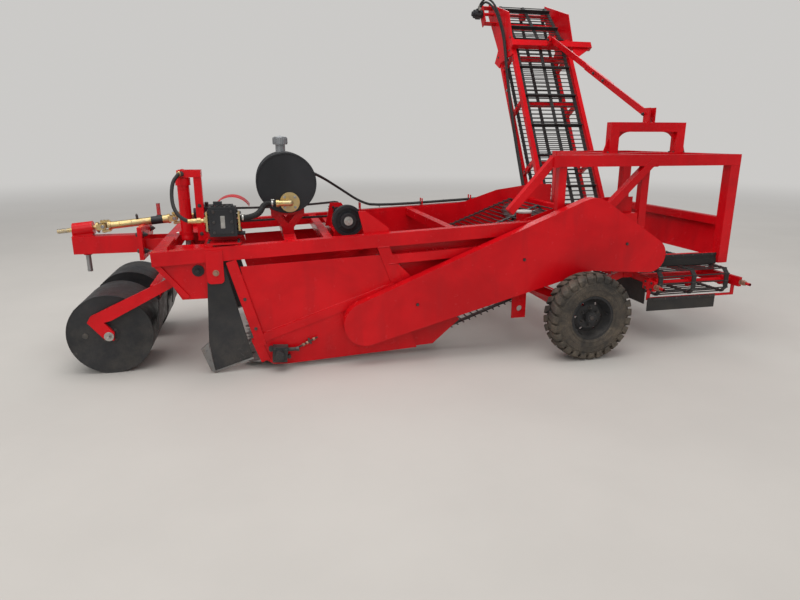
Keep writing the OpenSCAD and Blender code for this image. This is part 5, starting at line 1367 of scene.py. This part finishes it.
@dataclass
class RearFrameTrim:
    """Beads at the tube joints of the rear frame and portal, end caps, and the skirts' clamp strips."""

    side_y: float = 0.775
    rail_low: float = 1.480
    rail_top: float = 1.570
    strip: float = 0.004

    def build(self) -> None:
        """Makes the rear frame's trim."""
        beads, bolts = Forge(), Forge()
        post_x, half = 1.450, 0.045
        for side in SIDES:
            y = side * self.side_y
            beads.weld_round(at(post_x, y, self.rail_low), X, Y, half, half, 0.004)
            beads.weld_round(at(0.627, side * 0.760, self.rail_low), X, Y, 0.033, 0.030, 0.004)
            beads.weld_round(at(0.627, side * 0.760, 0.731), X, Y, 0.034, 0.031, 0.004)
            for x in (0.627, post_x):
                for dx in (-0.033, 0.033):
                    beads.weld(*(at(x + dx, y - side * half, z)
                                 for z in (self.rail_low + 0.002, self.rail_top - 0.002)))
            beads.slab(at(1.4975, y, 1.525), at(0.005, 0.084, 0.084), None, 0.0015)
        for x, z in ((-0.196, 1.530), (0.690, 1.530)):
            beads.weld(at(x - 0.050, -0.8205, z - 0.052), at(x + 0.020, -0.8205, z - 0.052))
        # Portal legs and their feet
        for x in (0.717, 1.403):
            beads.weld_round(at(x, -0.100, 1.5708), X, Y, 0.0425, 0.0425, 0.004)
            for dx, dy in product((-0.055, 0.055), (-0.032, 0.032)):
                bolts.bolt(at(x + dx, -0.100 + dy, 1.5702), Z, 0.016, 1.4, dx * 20)
        for x in (1.046, 1.107):
            beads.weld(at(x - 0.007, -0.140, 1.8405), at(x - 0.007, -0.050, 1.8405), 0.004)
        for s in SIDES:
            bolts.bolt(at(1.080 + s * 0.044, -0.060, 1.915), X * s, 0.024, 1.3, 0.3)
        # Clamp strips and bolts that hold the rubber skirts
        strips = Forge()
        upper = (at(1.112, -0.7900, 0.722), 0.584, 0.020, 0.870, 0.097, 0.015)
        lower = (at(0.978, -0.9562, 0.392), 0.650, 0.018, 0.700, 0.110, 0.014)
        for centre, length, height, first, step, head in (upper, lower):
            strips.slab(centre, at(length, self.strip, height), None, 0.001)
            for k in range(6):
                bolts.bolt(at(first + step * k, centre.y - self.strip / 2, centre.z), -Y, head, 1.5, k)
        beads.piece("rear_weld_beads", FRAME_PAINT, Body.FRAME, Slot.RED)
        bolts.piece("rear_bolts", DARK_FASTENER, Body.FRAME)
        strips.piece("skirt_strips", CAST_BLACK, Body.FRAME, Slot.CAST)


@dataclass
class CrossConveyorTrim:
    """Tension screws, lock nuts, bearing blocks and frame bolts of the cross conveyor."""

    reach: float = 0.960
    level: float = 0.515

    def build(self) -> None:
        """Makes the cross conveyor's trim."""
        dark, brass = Forge(), Forge()
        for x, away in ((0.659, -1), (1.481, 1)):
            a = at(x, -self.reach - 0.058, self.level)
            dark.thread(a + Y * -0.004, a - Y * 0.112, 0.0124, 0.004)
            for s in (0.012, 0.040):
                brass.bolt(a - Y * s, -Y, 0.040, 1.15, s * 40)
            for dz, dy in product((-0.026, 0.026), (-0.030, 0.050)):
                dark.bolt(at(x + away * 0.015, -self.reach + dy, self.level + dz), X * away, 0.016, 1.4, dz * 30)
        for (x, away), y in product(((0.680, -1), (1.460, 1)), (-0.640, -0.200, 0.250)):
            dark.bolt(at(x, y, self.level), X * away, 0.018, 1.5, y)
        for x, away in ((0.591, -1), (1.478, 1)):
            dark.lathe(at(x, 0.860, 0.520), X * away, [(0.030, -0.001), (0.030, 0.006), (0.012, 0.009)], 24)
        dark.piece("conveyor_bolts", DARK_FASTENER, Body.FRAME)
        brass.piece("conveyor_lock_nuts", COPPER_NUT, Body.FRAME)


@dataclass
class ElevatorTrim:
    """Rail bolts, head bearings, motor bolts, hose clips, flight bolts and the brace's bolts."""

    x0: float = 0.615
    x1: float = 1.395
    front: float = -0.118
    back: float = 0.282

    def build(self) -> None:
        """Makes the elevator's trim and the brace's."""
        beads, dark, zinc = Forge(ELEVATOR_AT), Forge(ELEVATOR_AT), Forge(ELEVATOR_AT)
        for x, out in ((self.x0, -1), (self.x1, 1)):
            inner = x - out * 0.050
            for s in (1.020, 1.820, 2.470):
                for ds in (-0.001, 0.047):
                    beads.weld(at(inner, -0.020, s + ds), at(inner, 0.026, s + ds), 0.0035)
                for t in (0.040, 0.180):
                    dark.bolt(at(x - out * 0.005, t, s + 0.023), X * out, 0.016, 1.4, s)
            for s in (0.40, 0.80, 1.20, 1.60, 2.00, 2.40):
                dark.bolt(at(x, self.front + 0.030, s), X * out, 0.014, 1.4, s)
            # Bearing and plate bolts of the head
            face = x + out * 0.0122
            centre = at(face, 0.165, 3.285)
            if out > 0:
                dark.hoop(centre, X, [(0.046, -0.001), (0.046, 0.012), (0.021, 0.012), (0.021, -0.001)], 32)
                for k, arm in enumerate(spokes(4, 45, "X")):
                    dark.bolt(centre + arm * 0.058, X, 0.016, 1.3, math.radians(45 + 90 * k))
            for t, s in ((-0.150, 2.680), (-0.060, 2.560), (0.250, 2.700), (-0.080, 2.440)):
                dark.bolt(at(face, t, s), X * out, 0.018, 1.4, t * 9)
        beads.weld(at(self.x0 - 0.020, -0.1885, 2.541), at(self.x1 + 0.250, -0.1885, 2.541), 0.003)
        self.motor(dark, zinc)
        self.flights(zinc)
        self.hose_clips(zinc)
        beads.piece("elevator_beads", FRAME_PAINT, Body.ELEVATOR, Slot.RED)
        dark.piece("elevator_bolts", DARK_FASTENER, Body.ELEVATOR)
        zinc.piece("elevator_clips", BRIGHT_ZINC, Body.ELEVATOR)
        self.brace()

    def motor(self, dark: Forge, zinc: Forge) -> None:
        """Adds the head motor's corner bolts, end screws and hose unions."""
        centre = at(self.x0 - 0.1723, 0.165, 3.285)
        for a, b in product((-0.036, 0.036), repeat=2):
            dark.bolt(centre + at(-0.080, a, b), -X, 0.015, 1.2, a * 20)
        for k, arm in enumerate(spokes(3, 0, "X")):
            dark.bolt(centre - X * 0.133 + arm * 0.020, -X, 0.009, 1.2, math.radians(120 * k))
        for k in (0, 1):
            seat = at(self.x0 - 0.232, 0.165 - 0.0815, 3.315 - 0.034 * k)
            union = [(0.0165, 0.0), (0.0165, 0.018), (0.0150, 0.020), (0.0150, 0.048), (0.0138, 0.052)]
            zinc.lathe(seat + Y * 0.001, -Y, union, 6)

    def flights(self, zinc: Forge) -> None:
        """Adds three bolts to each rubber flight of the front strand."""
        for k, x in product(range(7), (0.760, 1.005, 1.250)):
            zinc.bolt(at(x, -0.104, 0.306 + 0.400 * k), Z, 0.013, 1.5, x * 3)

    def hose_clips(self, zinc: Forge) -> None:
        """Adds saddles that hold the two hoses to the near rail."""
        for s in (0.700, 1.200, 1.700, 2.200):
            zinc.slab(at(self.x0 - 0.0015, 0.232, s), at(0.003, 0.040, 0.022), None, 0.001)

    def brace(self) -> None:
        """Makes the two bolts through the brace, and washers on its end pins."""
        outer = Forge(BRACE_AT)
        pin_x = PORTAL_PIN.x
        for s in (0.870, 1.090):
            outer.bolt(at(pin_x - 0.014, 0, s), -X, 0.024, 1.35, s)
            outer.bolt(at(pin_x + 0.0103, 0, s), X, 0.024, 1.35, s, 0.010)
        outer.piece("brace_bolts", DARK_FASTENER, Body.BRACE_OUTER)
        upper = Forge(ELEVATOR_AT)
        for s in SIDES:
            upper.bolt(at(pin_x + s * 0.044, -0.250, 2.580), X * s, 0.026, 1.3, 0.2)
        upper.piece("brace_pin_nuts", DARK_FASTENER, Body.ELEVATOR)


@dataclass
class Studio:
    """Plain pale floor, soft lights and the camera at the photograph's place."""

    camera: Point = (-1.2667, -6.0722, 1.70)
    pitch_down: float = 15.1
    yaw_right: float = 13.0
    lens: float = 27.0
    floor_tone: Colour = (0.52, 0.49, 0.45)
    backdrop: Colour = (0.60, 0.59, 0.575)
    lamps: tuple[tuple[str, Point, float, float], ...] = (
        ("overhead", (-1.5, -2.0, 9.5), 10.0, 620.0), ("near_side", (-6.0, -12.0, 8.0), 9.0, 380.0),
        ("far_side", (6.0, 9.0, 9.0), 9.0, 340.0))

    def build(self) -> None:
        """Makes the floor, the world, the lights and the camera."""
        self.place_camera()
        self.lay_floor()
        self.light()

    def place_camera(self) -> None:
        """Sets the scene's camera."""
        data = bpy.data.cameras.new("view")
        data.lens, data.sensor_width, data.clip_end = self.lens, 36.0, 200.0
        camera = bpy.data.objects.new("view", data)
        camera.location = self.camera
        camera.rotation_euler = (math.radians(90 - self.pitch_down), 0, math.radians(-self.yaw_right))
        bpy.context.scene.collection.objects.link(camera)
        bpy.context.scene.camera = camera

    def lay_floor(self) -> None:
        """Makes a wide floor with a faint grain."""
        mesh = bpy.data.meshes.new("floor")
        half = 60.0
        mesh.from_pydata([(-half, -half, 0), (half, -half, 0), (half, half, 0), (-half, half, 0)], [], [(0, 1, 2, 3)])
        floor = bpy.data.objects.new("floor", mesh)
        bpy.context.scene.collection.objects.link(floor)
        material = bpy.data.materials.new("pale_floor")
        sheet = blank_sheet(material)
        where = sheet.add("ShaderNodeTexCoord").outputs["Object"]
        tone = sheet.mix(sheet.spread(sheet.noise(where, 0.8, 5.0, 0.6), 0.3, 0.7), self.floor_tone,
                         tuple(c * 0.95 for c in self.floor_tone))
        shader = sheet.add("ShaderNodeBsdfPrincipled", {"Base Color": tone, "Roughness": 0.85})
        distance = sheet.add("ShaderNodeVectorMath", {0: where}, operation="LENGTH").outputs["Value"]
        haze = sheet.add("ShaderNodeEmission", {"Color": (*self.backdrop, 1.0), "Strength": 1.0})
        faded = sheet.add("ShaderNodeMixShader", {0: sheet.spread(distance, 4.5, 24.0), 1: shader.outputs[0],
                                                  2: haze.outputs[0]})
        sheet.add("ShaderNodeOutputMaterial", {0: faded.outputs[0]})
        mesh.materials.append(material)

    def light(self) -> None:
        """Sets a pale world and three soft area lamps."""
        world = bpy.data.worlds.new("studio")
        bpy.context.scene.world = world
        sheet = blank_sheet(world)
        ray = sheet.add("ShaderNodeLightPath")
        lit = sheet.add("ShaderNodeBackground", {"Color": (0.95, 0.97, 1.0, 1.0), "Strength": 0.60})
        mirrored = sheet.add("ShaderNodeBackground", {"Color": (0.20, 0.20, 0.205, 1.0), "Strength": 1.0})
        shown = sheet.add("ShaderNodeBackground", {"Color": (*self.backdrop, 1.0), "Strength": 1.0})
        unseen = sheet.add("ShaderNodeMixShader", {0: ray.outputs["Is Glossy Ray"], 1: lit.outputs[0],
                                                   2: mirrored.outputs[0]})
        whole = sheet.add("ShaderNodeMixShader", {0: ray.outputs["Is Camera Ray"], 1: unseen.outputs[0],
                                                  2: shown.outputs[0]})
        sheet.add("ShaderNodeOutputWorld", {0: whole.outputs[0]})
        for name, place, size, power in self.lamps:
            data = bpy.data.lights.new(name, "AREA")
            data.shape, data.size, data.energy = "DISK", size, power
            lamp = bpy.data.objects.new(name, data)
            lamp.location = place
            lamp.rotation_euler = (at(0, 0, 0.8) - Vector(place)).to_track_quat("-Z", "Y").to_euler()
            bpy.context.scene.collection.objects.link(lamp)


def dress_nodes(frame: dict) -> None:
    """Gives every CAD node the finish of its slot.
    """
    slots = {s["node"]: Slot(s["material_slot"]) for s in frame["record"]["subparts"]}
    for name, obj in frame["nodes"].items():
        finish = NODE_FINISHES[slots[name]]
        obj.data.materials.clear()
        obj.data.materials.append(finish.material())
        LOG.info("%s wears %s", name, finish.name)


def main() -> None:
    """Loads the frame and dresses it, in a plain studio."""
    logging.basicConfig(level=logging.INFO, format="%(message)s")
    bpy.ops.wm.read_factory_settings(use_empty=True)
    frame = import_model()
    bpy.context.scene.view_settings.view_transform = "Standard"
    Studio().build()
    dress_nodes(frame)
    for assembly in (TyreTread(), WheelHardware(), FrontRollers(), LiftCylinder(), Hitch(), InputShaft(),
                     PumpAndDrive(), TankTrim(), PulleyTrim(), FrameBeads(), DiggingBodyTrim(), WebRivets(),
                     RearFrameTrim(), CrossConveyorTrim(), ElevatorTrim()):
        LOG.info("building %s", type(assembly).__name__)
        assembly.build()


if __name__ == "__main__":
    main()
